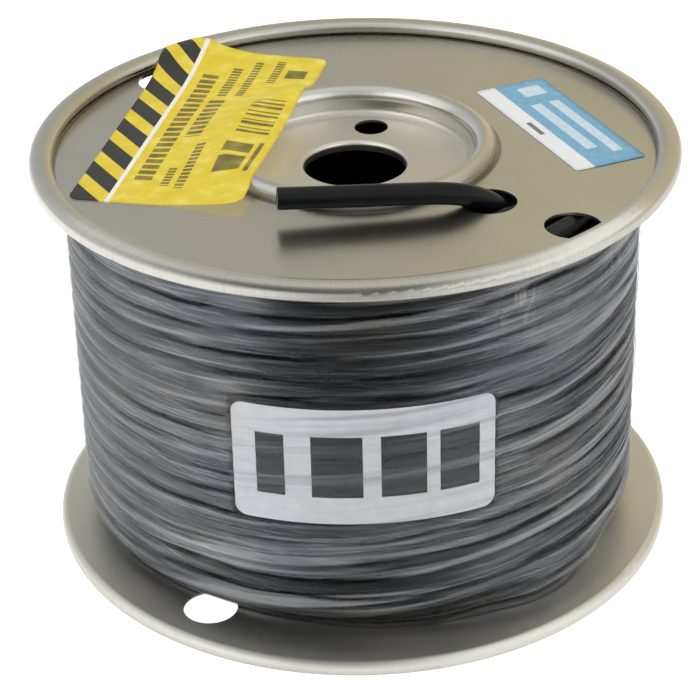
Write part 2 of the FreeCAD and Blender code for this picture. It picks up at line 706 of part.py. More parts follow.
# Front label, on the winding under the film. Its own frame is at the bottom of the winding.
label_inner = size("winding_diameter") / 2 + size("label_clearance")
LABEL_INNER = "sizes.winding_diameter / 2 + sizes.label_clearance"
front_label = new_body("front_label")
front_section = ring_sketch(
    front_label, "front_label_section",
    (label_inner, LABEL_INNER),
    (label_inner + size("label_thickness"), f"{LABEL_INNER} + sizes.label_thickness"),
    (size("front_label_rise"), "sizes.front_label_rise"),
    (size("front_label_rise") + size("front_label_height"),
     "sizes.front_label_rise + sizes.front_label_height"),
)
front_sheet = revolve(front_label, front_section, "front_label_sheet")
front_sheet.Midplane = True
front_sheet.setExpression("Angle", "sizes.front_label_span * 1 deg")
doc.recompute()
corner_edges = []
for number, edge in enumerate(front_sheet.Shape.Edges, start=1):
    if abs(edge.Length - size("label_thickness")) < 0.001:
        corner_edges.append(f"Edge{number}")
rounding = front_label.newObject("PartDesign::Fillet", "front_label_corners")
rounding.Base = (front_sheet, corner_edges)
rounding.setExpression("Radius", "sizes.front_label_corner")
front_label.Tip = rounding
place(front_label, FLOOR_OF_WINDING, size("front_label_azimuth"))


def rounded_rectangle(sketch, length_cell, width_cell, corner_cell):
    half_length = size(length_cell) / 2
    half_width = size(width_cell) / 2
    corner = size(corner_cell)
    arcs = []
    for along, across, opening in ((1, 1, 0), (-1, 1, 90), (-1, -1, 180), (1, -1, 270)):
        centre = Vector(along * (half_length - corner), across * (half_width - corner), 0)
        circle = Part.Circle(centre, Vector(0, 0, 1), corner)
        start = math.radians(opening)
        arcs.append(sketch.addGeometry(Part.ArcOfCircle(circle, start, start + math.pi / 2), False))
    sides = []
    for before, after in zip(arcs, arcs[1:] + arcs[:1]):
        start = sketch.getPoint(before, 2)
        finish = sketch.getPoint(after, 1)
        side = sketch.addGeometry(Part.LineSegment(start, finish), False)
        sketch.addConstraint(Sketcher.Constraint("Tangent", before, 2, side, 1))
        sketch.addConstraint(Sketcher.Constraint("Tangent", side, 2, after, 1))
        sides.append(side)
    for arc in arcs[1:]:
        sketch.addConstraint(Sketcher.Constraint("Equal", arcs[0], arc))
    back, left, front, right = sides
    for side in (back, front):
        sketch.addConstraint(Sketcher.Constraint("Horizontal", side))
    for side in (left, right):
        sketch.addConstraint(Sketcher.Constraint("Vertical", side))
    bind(sketch, "corner", f"sizes.{corner_cell}", "Radius", arcs[0], corner)
    bind(sketch, "right_edge", f"sizes.{length_cell} / 2", "DistanceX", -1, 1, right, 1, half_length)
    bind(sketch, "left_edge", f"-sizes.{length_cell} / 2", "DistanceX", -1, 1, left, 1, -half_length)
    bind(sketch, "back_edge", f"sizes.{width_cell} / 2", "DistanceY", -1, 1, back, 1, half_width)
    bind(sketch, "front_edge", f"-sizes.{width_cell} / 2", "DistanceY", -1, 1, front, 1, -half_width)


# Blue label, flat on the top web, set in from the edge of the flange.
blue_label = new_body("blue_label")
blue_sketch = new_sketch(blue_label, "blue_label_outline", "XY_Plane")
rounded_rectangle(blue_sketch, "blue_label_length", "blue_label_width", "blue_label_corner")
blue_sheet = blue_label.newObject("PartDesign::Pad", "blue_label_sheet")
blue_sheet.Profile = blue_sketch
blue_sheet.setExpression("Length", "sizes.label_thickness")
blue_label.Tip = blue_sheet
place(blue_label, f"{TOP_WEB_FACE} + sizes.label_clearance * 1 mm", size("blue_label_turn"))
BLUE_OFFSET = "(sizes.flange_diameter / 2 - sizes.blue_label_inset)"
blue_label.setExpression(".Placement.Base.x",
                         f"{BLUE_OFFSET} * cos(sizes.blue_label_azimuth * 1 deg) * 1 mm")
blue_label.setExpression(".Placement.Base.y",
                         f"{BLUE_OFFSET} * sin(sizes.blue_label_azimuth * 1 deg) * 1 mm")


# Striped label: it lies on the hub bead, falls to the web, climbs over the rim and folds down
# outside it. A strip of its section is turned about the axis, and its outline is then cut.
hazard_label = new_body("hazard_label")
hazard_section = new_sketch(hazard_label, "hazard_label_section", "XZ_Plane")
thickness = size("label_thickness")
lift = size("label_clearance") + thickness / 2
hub_level = crest_rise - size("sheet_gauge") + lift
web_level = lift
rim_level = rim_height - size("sheet_gauge") / 2 + lift
fold = size("label_fold_radius")
drop = math.radians(size("hub_drop_angle"))
rise = math.radians(size("rim_rise_angle"))
hub_slope = (hub_level - web_level - 2 * fold * (1 - math.cos(drop))) / math.sin(drop)
rim_slope = (rim_level - web_level - 2 * fold * (1 - math.cos(rise))) / math.sin(rise)
hub_foot = bead_centre + 2 * fold * math.sin(drop) + hub_slope * math.cos(drop)
rim_foot = roll_centre - 2 * fold * math.sin(rise) - rim_slope * math.cos(rise)
rim_bend_centre = size("flange_diameter") / 2 - size("sheet_gauge") / 2 - size("rim_outer_radius")
rim_fold = size("rim_outer_radius") + size("sheet_gauge") / 2 + size("rim_fold_slack")
RIM_FOLD = "(sizes.rim_outer_radius + sizes.sheet_gauge / 2 + sizes.rim_fold_slack)"
FOLD = "sizes.label_fold_radius"
strip = (
    run(length=bead_centre),
    bend("right", "label_fold_radius", "hub_drop_angle"),
    run(length=hub_slope),
    level_bend("left", "label_fold_radius", size("hub_drop_angle")),
    run(length=rim_foot - hub_foot),
    bend("left", "label_fold_radius", "rim_rise_angle"),
    run(length=rim_slope),
    level_bend("right", "label_fold_radius", size("rim_rise_angle")),
    run(length=rim_bend_centre - roll_centre),
    ("right", rim_fold, size("rim_fold_angle"), RIM_FOLD, "sizes.rim_fold_angle"),
    run("rim_tail"),
)
laid = lay_strip(Vector(0, hub_level, 0), 0, strip)
faces = []
for face, prefix in ((1, "upper"), (-1, "under")):
    edges = draw_face(hazard_section, laid, strip, face, "label_thickness", prefix)
    sign = "+" if face > 0 else "-"
    stack = f"sizes.label_clearance + sizes.label_thickness / 2 {sign} sizes.label_thickness / 2"
    hazard_section.addConstraint(Sketcher.Constraint("PointOnObject", edges[0][0], 1, -2))
    for number, level, cell in (
        (0, hub_level, f"{CREST_RISE} - sizes.sheet_gauge + {stack}"),
        (4, web_level, stack),
        (8, rim_level, f"{RIM_HEIGHT} / 1 mm - sizes.sheet_gauge / 2 + {stack}"),
    ):
        index = edges[number][0]
        hazard_section.addConstraint(Sketcher.Constraint("Horizontal", index))
        bind(hazard_section, f"{prefix}_level{number}", cell,
             "DistanceY", -1, 1, index, 1, level + face * thickness / 2)
    for number, centre, cell in (
        (1, bead_centre, "barrel_section.Constraints.bead_centre / 1 mm"),
        (7, roll_centre, "top_flange_section.Constraints.roll_centre / 1 mm"),
        (9, rim_bend_centre,
         "sizes.flange_diameter / 2 - sizes.sheet_gauge / 2 - sizes.rim_outer_radius"),
    ):
        bind(hazard_section, f"{prefix}_centre{number}", cell,
             "DistanceX", -1, 1, edges[number][0], 3, centre)
    faces.append(edges)
close_strip(hazard_section, *faces)
revolve(hazard_label, hazard_section, "hazard_label_sheet")
outline = new_sketch(hazard_label, "hazard_label_outline", "XY_Plane")
outline.AttachmentOffset = FreeCAD.Placement(
    Vector(0, 0, 0), FreeCAD.Rotation(Vector(0, 0, 1), size("striped_label_turn")))
outline.setExpression(".AttachmentOffset.Base.x",
                      "sizes.striped_label_offset * cos(sizes.striped_label_azimuth * 1 deg) * 1 mm")
outline.setExpression(".AttachmentOffset.Base.y",
                      "sizes.striped_label_offset * sin(sizes.striped_label_azimuth * 1 deg) * 1 mm")
rounded_rectangle(outline, "striped_label_length", "striped_label_width", "striped_label_corner")
surround = outline.addGeometry(
    Part.Circle(Vector(0, 0, 0), Vector(0, 0, 1), 2 * size("flange_diameter")), False)
outline.addConstraint(Sketcher.Constraint("Coincident", surround, 3, -1, 1))
bind(outline, "surround", "4 * sizes.flange_diameter", "Diameter", surround, 4 * size("flange_diameter"))
trim = hazard_label.newObject("PartDesign::Pocket", "hazard_label_trim")
trim.Profile = outline
trim.Type = "ThroughAll"
trim.Midplane = True
hazard_label.Tip = trim
place(hazard_label, TOP_WEB_FACE)

doc.recompute()

parts = (
    top_flange,
    bottom_flange,
    barrel,
    top_hub_plate,
    bottom_hub_plate,
    winding_core,
    winding_outer_layer,
    start_lead_jacket,
    start_lead_conductor,
    stretch_film,
    front_label,
    hazard_label,
    blue_label,
)
for item in doc.Objects:
    if "Invalid" in item.State or "Error" in item.State:
        raise RuntimeError(f"{item.Label} failed: {item.State}")
for item in parts:
    shape = item.Shape
    if shape.isNull() or not shape.isValid() or len(shape.Solids) != 1:
        raise RuntimeError(f"{item.Label} is not one sound solid")
    print(f"{item.Label}: {shape.Volume:.1f} mm3")

os.makedirs("parts", exist_ok=True)
for item in parts:
    item.Shape.exportStep(f"parts/{item.Label}.step")
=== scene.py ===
from functools import partial
from math import atan2, cos, degrees, hypot, pi, radians, sin, tau

import bmesh
import bpy
import numpy as np
from mathutils import Matrix, Vector, noise
from mathutils.bvhtree import BVHTree


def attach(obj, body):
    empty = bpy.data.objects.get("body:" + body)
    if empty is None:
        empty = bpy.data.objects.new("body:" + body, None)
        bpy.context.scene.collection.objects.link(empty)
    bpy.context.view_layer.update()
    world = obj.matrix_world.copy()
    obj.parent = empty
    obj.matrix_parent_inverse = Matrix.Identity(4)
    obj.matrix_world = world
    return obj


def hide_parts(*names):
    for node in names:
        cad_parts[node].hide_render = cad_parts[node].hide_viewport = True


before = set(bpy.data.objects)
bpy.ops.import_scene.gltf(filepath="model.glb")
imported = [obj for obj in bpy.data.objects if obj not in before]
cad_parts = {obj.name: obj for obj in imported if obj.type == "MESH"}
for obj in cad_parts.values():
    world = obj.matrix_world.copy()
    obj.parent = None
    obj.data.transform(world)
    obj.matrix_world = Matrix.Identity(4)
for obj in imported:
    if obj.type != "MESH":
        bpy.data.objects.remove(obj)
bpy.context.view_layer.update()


# Camera. It stands half a metre in front of the spool and looks down on it by 30 degrees, with
# the slight tilt to one side that the photograph has.
MM = 0.001
CAMERA_PLACE = (-2.0956, -458.036, 299.378)
CAMERA_PITCH = radians(90 - 29.591)
CAMERA_ROLL = -0.02483
LENS, SENSOR_WIDTH = 119.56, 36.0

camera = bpy.data.objects.new("camera", bpy.data.cameras.new("camera"))
camera.data.lens = LENS
camera.data.sensor_width = SENSOR_WIDTH
camera.data.clip_start = 10 * MM
camera.matrix_world = (Matrix.Translation(MM * Vector(CAMERA_PLACE))
                       @ Matrix.Rotation(CAMERA_PITCH, 4, "X")
                       @ Matrix.Rotation(CAMERA_ROLL, 4, "Z"))
bpy.context.scene.collection.objects.link(camera)
bpy.context.scene.camera = camera
bpy.context.scene.view_settings.view_transform = "Standard"


# Start lead. The inner end of the wire comes up through the start hole and lies beside the hub,
# cut off square. It is stiff building wire: black PVC insulation, extruded over nineteen tinned
# copper strands. The rings of strands are given by their count and distance from the middle in mm.
LEAD_ROUTE = ((31.0, -24.0, 78.863), (31.0, -24.0, 84.613), (26.9, -27.5, 89.513),
              (20.6, -30.7, 92.913), (8.9, -32.2, 93.613), (-4.2, -33.1, 93.813),
              (-16.1, -34.3, 94.313))
WIRE_RADIUS = 2.35 * MM
INSULATION_BORE = 1.53 * MM
INSULATION_SEGMENTS = 28
CUT_EDGE = 0.12 * MM
STRAND_RADIUS = 0.29 * MM
STRAND_SEGMENTS, STRAND_STEP = 8, 4
STRAND_RINGS = ((1, 0.0), (6, 0.6), (12, 1.19))
STRAND_LAY = 38 * MM


def linear(colour):
    """An sRGB hex colour as linear red, green, blue and alpha."""
    parts = [int(colour[i:i + 2], 16) / 255 for i in (1, 3, 5)]
    return [p / 12.92 if p <= 0.04045 else ((p + 0.055) / 1.055) ** 2.4 for p in parts] + [1.0]


def add_node(tree, kind, inputs=None, stops=None, **settings):
    """Adds a node. inputs gives each input socket its value, or the socket or node to link.

    Of a node that is linked, the first output is taken. A Mix node's A and B are its inputs 2 and
    3 where they are values, and 6 and 7 where they are colours.
    """
    made = tree.nodes.new("ShaderNode" + kind)
    for name, value in settings.items():
        setattr(made, name, value)
    for place, (at, value) in enumerate(stops or ()):
        elements = made.color_ramp.elements
        stop = elements[place] if place < len(elements) else elements.new(at)
        stop.position = at
        stop.color = linear(value) if isinstance(value, str) else (value, value, value, 1.0)
    for socket, value in (inputs or {}).items():
        if isinstance(value, bpy.types.Node):
            value = value.outputs[0]
        if isinstance(value, bpy.types.NodeSocket):
            tree.links.new(value, made.inputs[socket])
        else:
            made.inputs[socket].default_value = value
    return made


def new_material(name):
    """A material with an empty tree, and the function that adds nodes to that tree."""
    material = bpy.data.materials.new(name)
    material.use_nodes = True
    material.node_tree.nodes.clear()
    return material, partial(add_node, material.node_tree)


def new_object(bm, name, material):
    """Makes the mesh an object of the scene, with its material."""
    mesh = bpy.data.meshes.new(name)
    bm.to_mesh(mesh)
    bm.free()
    mesh.materials.append(material)
    made = bpy.data.objects.new(name, mesh)
    bpy.context.scene.collection.objects.link(made)
    return made


def finish_piece(bm, name, material, replaced):
    """Makes the mesh a smooth piece that rides on the one body and stands for a node."""
    piece = new_object(bm, name, material)
    piece.data.shade_smooth()
    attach(piece, "root")
    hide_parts(replaced)
    return piece


# Extruded PVC insulation, satin. It is nearly black, and fine lines from the die run along it.
insulation_pvc, add = new_material("black_pvc_insulation")
place = add("TexCoord").outputs["Object"]
smudge = add("TexNoise", {"Vector": place, "Scale": 90.0, "Detail": 3.0})
tint = add("ValToRGB", {"Fac": smudge}, stops=((0.35, "#0a0b0c"), (0.7, "#151618")))
gloss = add("MapRange", {"Value": smudge, "From Min": 0.3, "From Max": 0.7, "To Min": 0.22,
                         "To Max": 0.33})
stretched = add("Mapping", {"Vector": place, "Scale": (120.0, 1500.0, 1500.0)})
lines = add("TexNoise", {"Vector": stretched, "Scale": 1.0, "Detail": 2.0})
bump = add("Bump", {"Height": lines, "Strength": 0.04, "Distance": 0.0002})
shader = add("BsdfPrincipled", {"Base Color": tint, "Roughness": gloss, "IOR": 1.53,
                                "Specular IOR Level": 0.2, "Normal": bump})
add("OutputMaterial", {"Surface": shader})

# Tinned copper strand: drawn wire with a thin coat of tin, pale grey with a trace of the copper.
tinned_copper, add = new_material("tinned_copper_strand")
place = add("TexCoord").outputs["Object"]
patches = add("TexNoise", {"Vector": place, "Scale": 900.0, "Detail": 2.0})
tint = add("ValToRGB", {"Fac": patches}, stops=((0.35, "#b9a793"), (0.6, "#cfcbc4")))
shader = add("BsdfPrincipled", {"Base Color": tint, "Metallic": 1.0, "Roughness": 0.3})
add("OutputMaterial", {"Surface": shader})

route = bpy.data.curves.new("start_lead_route", "CURVE")
route.dimensions = "3D"
spline = route.splines.new("NURBS")
spline.points.add(len(LEAD_ROUTE) - 1)
for point, corner in zip(spline.points, LEAD_ROUTE):
    point.co = (*(MM * Vector(corner)), 1.0)
spline.order_u = 3
spline.use_endpoint_u = True
route.resolution_u = 20
carrier = bpy.data.objects.new("start_lead_route", route)
bpy.context.scene.collection.objects.link(carrier)
drawn = bpy.data.meshes.new_from_object(carrier)
lead_path = [v.co.copy() for v in drawn.vertices]
bpy.data.objects.remove(carrier)
bpy.data.meshes.remove(drawn)


def frames_along(path):
    """A matrix at each point of the path, its Z along the path and with no twist."""
    along = (path[1] - path[0]).normalized()
    across = along.orthogonal().normalized()
    frames = []
    for i, point in enumerate(path):
        ahead = (path[min(i + 1, len(path) - 1)] - path[max(i - 1, 0)]).normalized()
        across = along.rotation_difference(ahead) @ across
        along = ahead
        turned = Matrix((across, along.cross(across), along)).transposed().to_4x4()
        frames.append(Matrix.Translation(point) @ turned)
    return frames


def sweep(bm, edges, frames):
    """Extrudes a ring of edges through all the frames in turn and returns the last ring."""
    for before, after in zip(frames, frames[1:]):
        grown = bmesh.ops.extrude_edge_only(bm, edges=edges)["geom"]
        corners = [g for g in grown if isinstance(g, bmesh.types.BMVert)]
        edges = [g for g in grown if isinstance(g, bmesh.types.BMEdge)]
        bmesh.ops.transform(bm, matrix=after @ before.inverted(), verts=corners)
    return edges


lead_frames = frames_along(lead_path)
bm = bmesh.new()
rings = []
for radius in (WIRE_RADIUS, INSULATION_BORE):
    start = bmesh.ops.create_circle(bm, segments=INSULATION_SEGMENTS, radius=radius,
                                    matrix=lead_frames[0])["verts"]
    first = list({edge for corner in start for edge in corner.link_edges})
    rings.append((first, sweep(bm, first, lead_frames)))
for ends in zip(*rings):
    bmesh.ops.bridge_loops(bm, edges=[edge for ring in ends for edge in ring])
bmesh.ops.recalc_face_normals(bm, faces=bm.faces)
cut_ends = [e for ring in rings for loop in ring for e in loop]
bmesh.ops.bevel(bm, geom=cut_ends, offset=CUT_EDGE, segments=2, profile=0.5, affect="EDGES",
                material=-1)
jacket = finish_piece(bm, "lead_insulation", insulation_pvc, "start_lead_jacket")

bm = bmesh.new()
strand_frames = frames_along(lead_path[::STRAND_STEP] + [lead_path[-1]])
twist = tau * (lead_path[STRAND_STEP] - lead_path[0]).length / STRAND_LAY
twists = [Matrix.Rotation(i * twist, 4, "Z") for i in range(len(strand_frames))]
for count, offset in STRAND_RINGS:
    for number in range(count):
        aside = (Matrix.Rotation(tau * number / count, 4, "Z")
                 @ Matrix.Translation((offset * MM, 0, 0)))
        run = [f @ t @ aside for f, t in zip(strand_frames, twists)]
        start = bmesh.ops.create_circle(bm, segments=STRAND_SEGMENTS, radius=STRAND_RADIUS,
                                        matrix=run[0])["verts"]
        first = list({edge for corner in start for edge in corner.link_edges})
        last = sweep(bm, first, run)
        bmesh.ops.holes_fill(bm, edges=first)
        bmesh.ops.holes_fill(bm, edges=last)
bmesh.ops.recalc_face_normals(bm, faces=bm.faces)
strands = finish_piece(bm, "lead_strands", tinned_copper, "start_lead_conductor")


# Studio. A pale floor that fades into a white room, a large soft lamp overhead and a softer one at
# each side. The room in front of the spool is dark, as behind any camera: bright things mirror it
# as dark bands.
FLOOR_SIZE = 6.0
floor_paper, add = new_material("white_paper_floor")
rays = add("LightPath")
sees_white = rays.outputs["Is Camera Ray"]
for kind in ("Glossy", "Transmission"):
    sees_white = add("Math", {0: sees_white, 1: rays.outputs[f"Is {kind} Ray"]},
                     operation="MAXIMUM")
paper = add("BsdfDiffuse", {"Color": linear("#e6e6e6")})
shaded = add("BsdfDiffuse", {"Color": (0.35, 0.35, 0.35, 1.0)})
# What glossy things see of the floor is dim under the spool and in the room in front of it. Each
# zone has its measure, the part of that measure's range that counts, and what its two ends give.
place = add("TexCoord").outputs["Object"]
out = add("VectorMath", {0: place}, operation="LENGTH").outputs["Value"]
floor_x, floor_y = add("SeparateXYZ", {0: place}).outputs[:2]
aside = add("Math", {0: floor_x}, operation="ABSOLUTE")
FLOOR_ZONES = (("sunlit", out, 0.062, 0.074, 0.06, 1.0), ("facing", aside, 0.03, 0.11, 0.85, 0.0),
               ("ahead", floor_y, -0.1, -0.08, 1.0, 0.0), ("far", floor_y, -0.6, -0.22, 0.1, 0.9),
               ("beside", floor_x, 0.04, 0.12, 1.0, 0.72))
zones = {}
for name, measure, low, high, least, most in FLOOR_ZONES:
    zones[name] = add("MapRange", {"Value": measure, "From Min": low, "From Max": high,
                                   "To Min": least, "To Max": most})
dimmed = add("Math", {0: zones["facing"], 1: zones["ahead"]}, operation="MULTIPLY")
mirrored = add("Math", {0: 1.0, 1: dimmed}, operation="SUBTRACT")
for name in ("sunlit", "far", "beside"):
    mirrored = add("Math", {0: mirrored, 1: zones[name]}, operation="MULTIPLY")
shown = add("Mix", {"Factor": rays.outputs["Is Glossy Ray"], 2: 1.0, 3: mirrored})
painted_glow = add("Emission", {"Color": (1.0, 1.0, 1.0, 1.0), "Strength": shown})
bright = add("AddShader", {0: shaded, 1: painted_glow})
seen = add("MixShader", {0: sees_white, 1: paper, 2: bright})
add("OutputMaterial", {"Surface": seen})
bm = bmesh.new()
bmesh.ops.create_grid(bm, x_segments=4, y_segments=4, size=FLOOR_SIZE / 2)
floor = new_object(bm, "floor", floor_paper)

# A dark collar over the front of the rolled rim, as photographers hold a card over bright metal.
# It is only mirrored, and draws the dark line along the rim. It pales towards its inner edge.
COLLAR_LEVEL, COLLAR_INNER, COLLAR_OUTER = 104 * MM, 52 * MM, 260 * MM
COLLAR_START, COLLAR_SWEEP, COLLAR_STEPS = radians(-160), radians(140), 48
dark_card, add = new_material("dark_card")
place = add("TexCoord").outputs["Object"]
flat = add("VectorMath", {0: place, 1: (1.0, 1.0, 0.0)}, operation="MULTIPLY")
reach = add("VectorMath", {0: flat}, operation="LENGTH").outputs["Value"]
reach = add("MapRange", {"Value": reach, "From Min": COLLAR_INNER, "From Max": COLLAR_OUTER})
shade = add("ValToRGB", {"Fac": reach}, stops=((0.0, 0.7), (0.067, 0.65), (0.08, 0.5),
                                               (0.096, 0.33), (0.12, 0.2), (0.18, 0.12),
                                               (1.0, 0.12)))
# Towards its two ends it turns white, more so on the right.
card_x = add("SeparateXYZ", {0: place})
left_end = add("MapRange", {"Value": card_x, "From Min": -0.075, "From Max": -0.03, "To Min": 0.6,
                            "To Max": 0.0})
right_end = add("MapRange", {"Value": card_x, "From Min": 0.015, "From Max": 0.055})
white_end = add("Math", {0: left_end, 1: right_end}, operation="MAXIMUM")
shade = add("Mix", {"Factor": white_end, 6: shade, 7: (1.2, 1.2, 1.2, 1.0)}, data_type="RGBA")
dim = add("Emission", {"Color": shade.outputs[2], "Strength": 1.0})
add("OutputMaterial", {"Surface": dim})
bm = bmesh.new()
ends = [bm.verts.new((r * cos(COLLAR_START), r * sin(COLLAR_START), COLLAR_LEVEL))
        for r in (COLLAR_INNER, COLLAR_OUTER)]
bm.edges.new(ends)
bmesh.ops.spin(bm, geom=bm.verts[:] + bm.edges[:], cent=(0, 0, 0), axis=(0, 0, 1),
               angle=COLLAR_SWEEP, steps=COLLAR_STEPS)
card = new_object(bm, "rim_card", dark_card)
for kind in ("camera", "diffuse", "shadow", "transmission"):
    setattr(card, "visible_" + kind, False)

world = bpy.data.worlds.new("studio")
world.use_nodes = True
bpy.context.scene.world = world
world.node_tree.nodes.clear()
add = partial(add_node, world.node_tree)
rays = add("LightPath")
sky_x, sky_y, sky_z = add("SeparateXYZ", {0: add("TexCoord").outputs["Generated"]}).outputs
rise = add("Math", {0: sky_z, 1: sky_y}, operation="ARCTAN2")
rise = add("Math", {0: rise, 1: pi}, operation="DIVIDE")
# From the horizon behind the spool, over the lamp overhead, to the horizon in front of it.
walls = add("ValToRGB", {"Fac": rise}, stops=((0.0, 0.8), (0.06, 0.75), (0.13, 0.63), (0.22, 0.63),
                                              (0.32, 0.7), (0.42, 0.85), (0.6, 0.8), (0.7, 0.65),
                                              (0.8, 0.72), (0.88, 0.66), (1.0, 0.3)))
# Two white panels stand in front of the spool, to the left and right of the camera.
aside = add("Math", {0: sky_x}, operation="ABSOLUTE")
aside = add("MapRange", {"Value": aside, "From Min": 0.2, "From Max": 0.5})
front = add("MapRange", {"Value": rise, "From Min": 0.58, "From Max": 0.72})
panels = add("Math", {0: aside, 1: front}, operation="MULTIPLY")
panel_light = add("MapRange", {"Value": sky_x, "From Min": -0.2, "From Max": 0.2, "To Min": 1.15,
                               "To Max": 1.3})
walls = add("Mix", {"Factor": panels, 6: walls, 7: panel_light}, data_type="RGBA")
# Behind the spool the room is cooler on the left and warmer on the right.
sides = add("MapRange", {"Value": sky_x, "From Min": -0.16, "From Max": 0.16})
tone = add("ValToRGB", {"Fac": sides}, stops=((0.0, "#e3e4e4"), (0.45, "#e2decf"),
                                              (1.0, "#fff3cd")))
rear = add("MapRange", {"Value": rise, "From Min": 0.28, "From Max": 0.42, "To Min": 1.0,
                        "To Max": 0.0})
toned = add("Mix", {"Factor": rear, 6: walls.outputs[2], 7: tone}, data_type="RGBA",
            blend_type="MULTIPLY")
even = add("Background", {"Color": linear("#f2f4f6"), "Strength": 0.62})
window = add("MapRange", {"Value": sky_x, "From Min": -0.6, "From Max": -0.25, "To Min": 1.3,
                          "To Max": 1.0})
mirrored = add("Background", {"Color": toned.outputs[2], "Strength": window})
white = add("Background", {"Color": (1.0, 1.0, 1.0, 1.0), "Strength": 1.0})
behind = add("Math", {0: rays.outputs["Is Camera Ray"], 1: rays.outputs["Is Transmission Ray"]},
             operation="MAXIMUM")
room = add("MixShader", {0: rays.outputs["Is Glossy Ray"], 1: even, 2: mirrored})
room = add("MixShader", {0: behind, 1: room, 2: white})
add("OutputWorld", {"Surface": room})

# Each lamp has its name, its place and width in metres, and its power in watts.
LAMPS = (("overhead", (-0.15, 0.25, 1.3), 1.3, 9.0), ("left", (-1.2, -0.5, 0.9), 0.9, 4.5),
         ("right", (1.3, -0.2, 0.8), 0.9, 3.5))
for name, stand, width, power in LAMPS:
    lamp = bpy.data.lights.new("lamp_" + name, "AREA")
    lamp.shape = "DISK"
    lamp.size = width
    lamp.energy = power
    holder = bpy.data.objects.new("lamp_" + name, lamp)
    holder.location = stand
    holder.rotation_euler = (-Vector(stand)).to_track_quat("-Z", "Y").to_euler()
    holder.visible_glossy = False
    bpy.context.scene.collection.objects.link(holder)


# Flanges. Two stampings from one die in electrolytic tinplate, thin steel with a film of tin: a
# flat web with a start hole and two rim holes, and a rolled rim that stiffens it.
WEB_EDGE = 64.5


def steel_material(name, stops, rough, streaks=0.04, crease_shade=(), painted_shade_inside=None):
    """Pressed tinplate: mottled tin, rolling grain, and brushed lines across the rolled rim.

    streaks is the depth of the brushed lines. The crease rings are circles of painted shade, where
    shade falls in a crease or at a bead's foot: the radius, half the width and the darkening. The
    shaded inside is a closed drum's inside, painted dark as the shade in it: its radius, the level
    of its middle and half its height. All are in mm.
    """
    material, add = new_material(name)
    place = add("TexCoord").outputs["Object"]
    clouds = add("TexNoise", {"Vector": place, "Scale": 24.0, "Detail": 3.0})
    tint = add("ValToRGB", {"Fac": clouds}, stops=stops)
    # Rolling grain is finer than a pixel; it is drawn 0.3 mm wide and 1 mm long so that it shows.
    stretched = add("Mapping", {"Vector": place, "Scale": (1100.0, 3200.0, 3200.0)})
    grain = add("TexNoise", {"Vector": stretched, "Scale": 1.0, "Detail": 2.0})
    flat = add("VectorMath", {0: place, 1: (1.0, 1.0, 0.0)}, operation="MULTIPLY")
    reach = add("VectorMath", {0: flat}, operation="LENGTH").outputs["Value"]
    spoke = add("VectorMath", {0: flat}, operation="NORMALIZE")
    spoke = add("VectorMath", {0: spoke, "Scale": 190.0}, operation="SCALE")
    brushed = add("TexNoise", {"Vector": spoke, "Scale": 1.0, "Detail": 3.0, "Roughness": 0.65})
    on_rim = add("MapRange", {"Value": reach, "From Min": WEB_EDGE * MM,
                              "From Max": (WEB_EDGE + 2) * MM})
    shade = add("Mix", {"Factor": on_rim, 2: grain, 3: brushed})
    depth = add("MapRange", {"Value": on_rim, "To Min": 0.04, "To Max": streaks})
    even = add("Math", {0: shade, 1: 0.5}, operation="SUBTRACT")
    even = add("Math", {0: even, 1: 4.0}, operation="MULTIPLY")
    darker = add("Math", {0: even, 1: depth, 2: 0.97}, operation="MULTIPLY_ADD")
    # Painted shade: each crease ring darkens a thin circle where shade falls, in a crease or at a
    # bead's foot.
    for radius, half, dark in crease_shade:
        off = add("Math", {0: reach, 1: radius * MM}, operation="SUBTRACT")
        off = add("Math", {0: off}, operation="ABSOLUTE")
        kept = add("MapRange", {"Value": off, "From Min": 0.3 * half * MM, "From Max": half * MM,
                                "To Min": 1 - dark})
        darker = add("Math", {0: darker, 1: kept}, operation="MULTIPLY")
    colour = add("Mix", {"Factor": 1.0, 6: tint, 7: darker}, data_type="RGBA",
                 blend_type="MULTIPLY")
    smudge = add("TexNoise", {"Vector": place, "Scale": 60.0, "Detail": 5.0})
    gloss = add("MapRange", {"Value": smudge, "From Min": 0.3, "From Max": 0.7,
                             "To Min": rough - 0.03, "To Max": rough + 0.04})
    gloss = add("Math", {0: on_rim, 1: 0.05, 2: gloss}, operation="MULTIPLY_ADD")
    # Painted shade: inside a closed drum the metal is painted dark, as the shade there.
    if painted_shade_inside:
        radius, middle, half = painted_shade_inside
        near = add("Math", {0: reach, 1: radius * MM}, operation="LESS_THAN")
        rise = add("SeparateXYZ", {0: place}).outputs[2]
        rise = add("Math", {0: rise, 1: middle * MM}, operation="SUBTRACT")
        rise = add("Math", {0: rise}, operation="ABSOLUTE")
        deep = add("Math", {0: rise, 1: half * MM}, operation="LESS_THAN")
        inside_shade = add("Math", {0: near, 1: deep}, operation="MULTIPLY")
        colour = add("Mix", {"Factor": inside_shade, 6: colour.outputs[2], 7: linear("#38342e")},
                     data_type="RGBA")
    bump = add("Bump", {"Height": grain, "Strength": 0.05, "Distance": 0.0001})
    shader = add("BsdfPrincipled", {"Base Color": colour.outputs[2], "Metallic": 1.0,
                                    "Roughness": gloss, "Normal": bump})
    add("OutputMaterial", {"Surface": shader})
    return material


def coat(material, *nodes):
    """Gives nodes of the CAD their material."""
    for node in nodes:
        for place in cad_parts[node].material_slots:
            place.material = material


# Painted shade: thin dark rings in the crease at the rim's foot and round the hub bead's foot.
tinplate = steel_material("tinplate_flange",
                          ((0.3, "#cfcdc4"), (0.55, "#d5d3ca"), (0.8, "#d9d8d0")), 0.25,
                          streaks=0.1, crease_shade=((64.75, 0.45, 0.45), (31.2, 0.7, 0.55)))
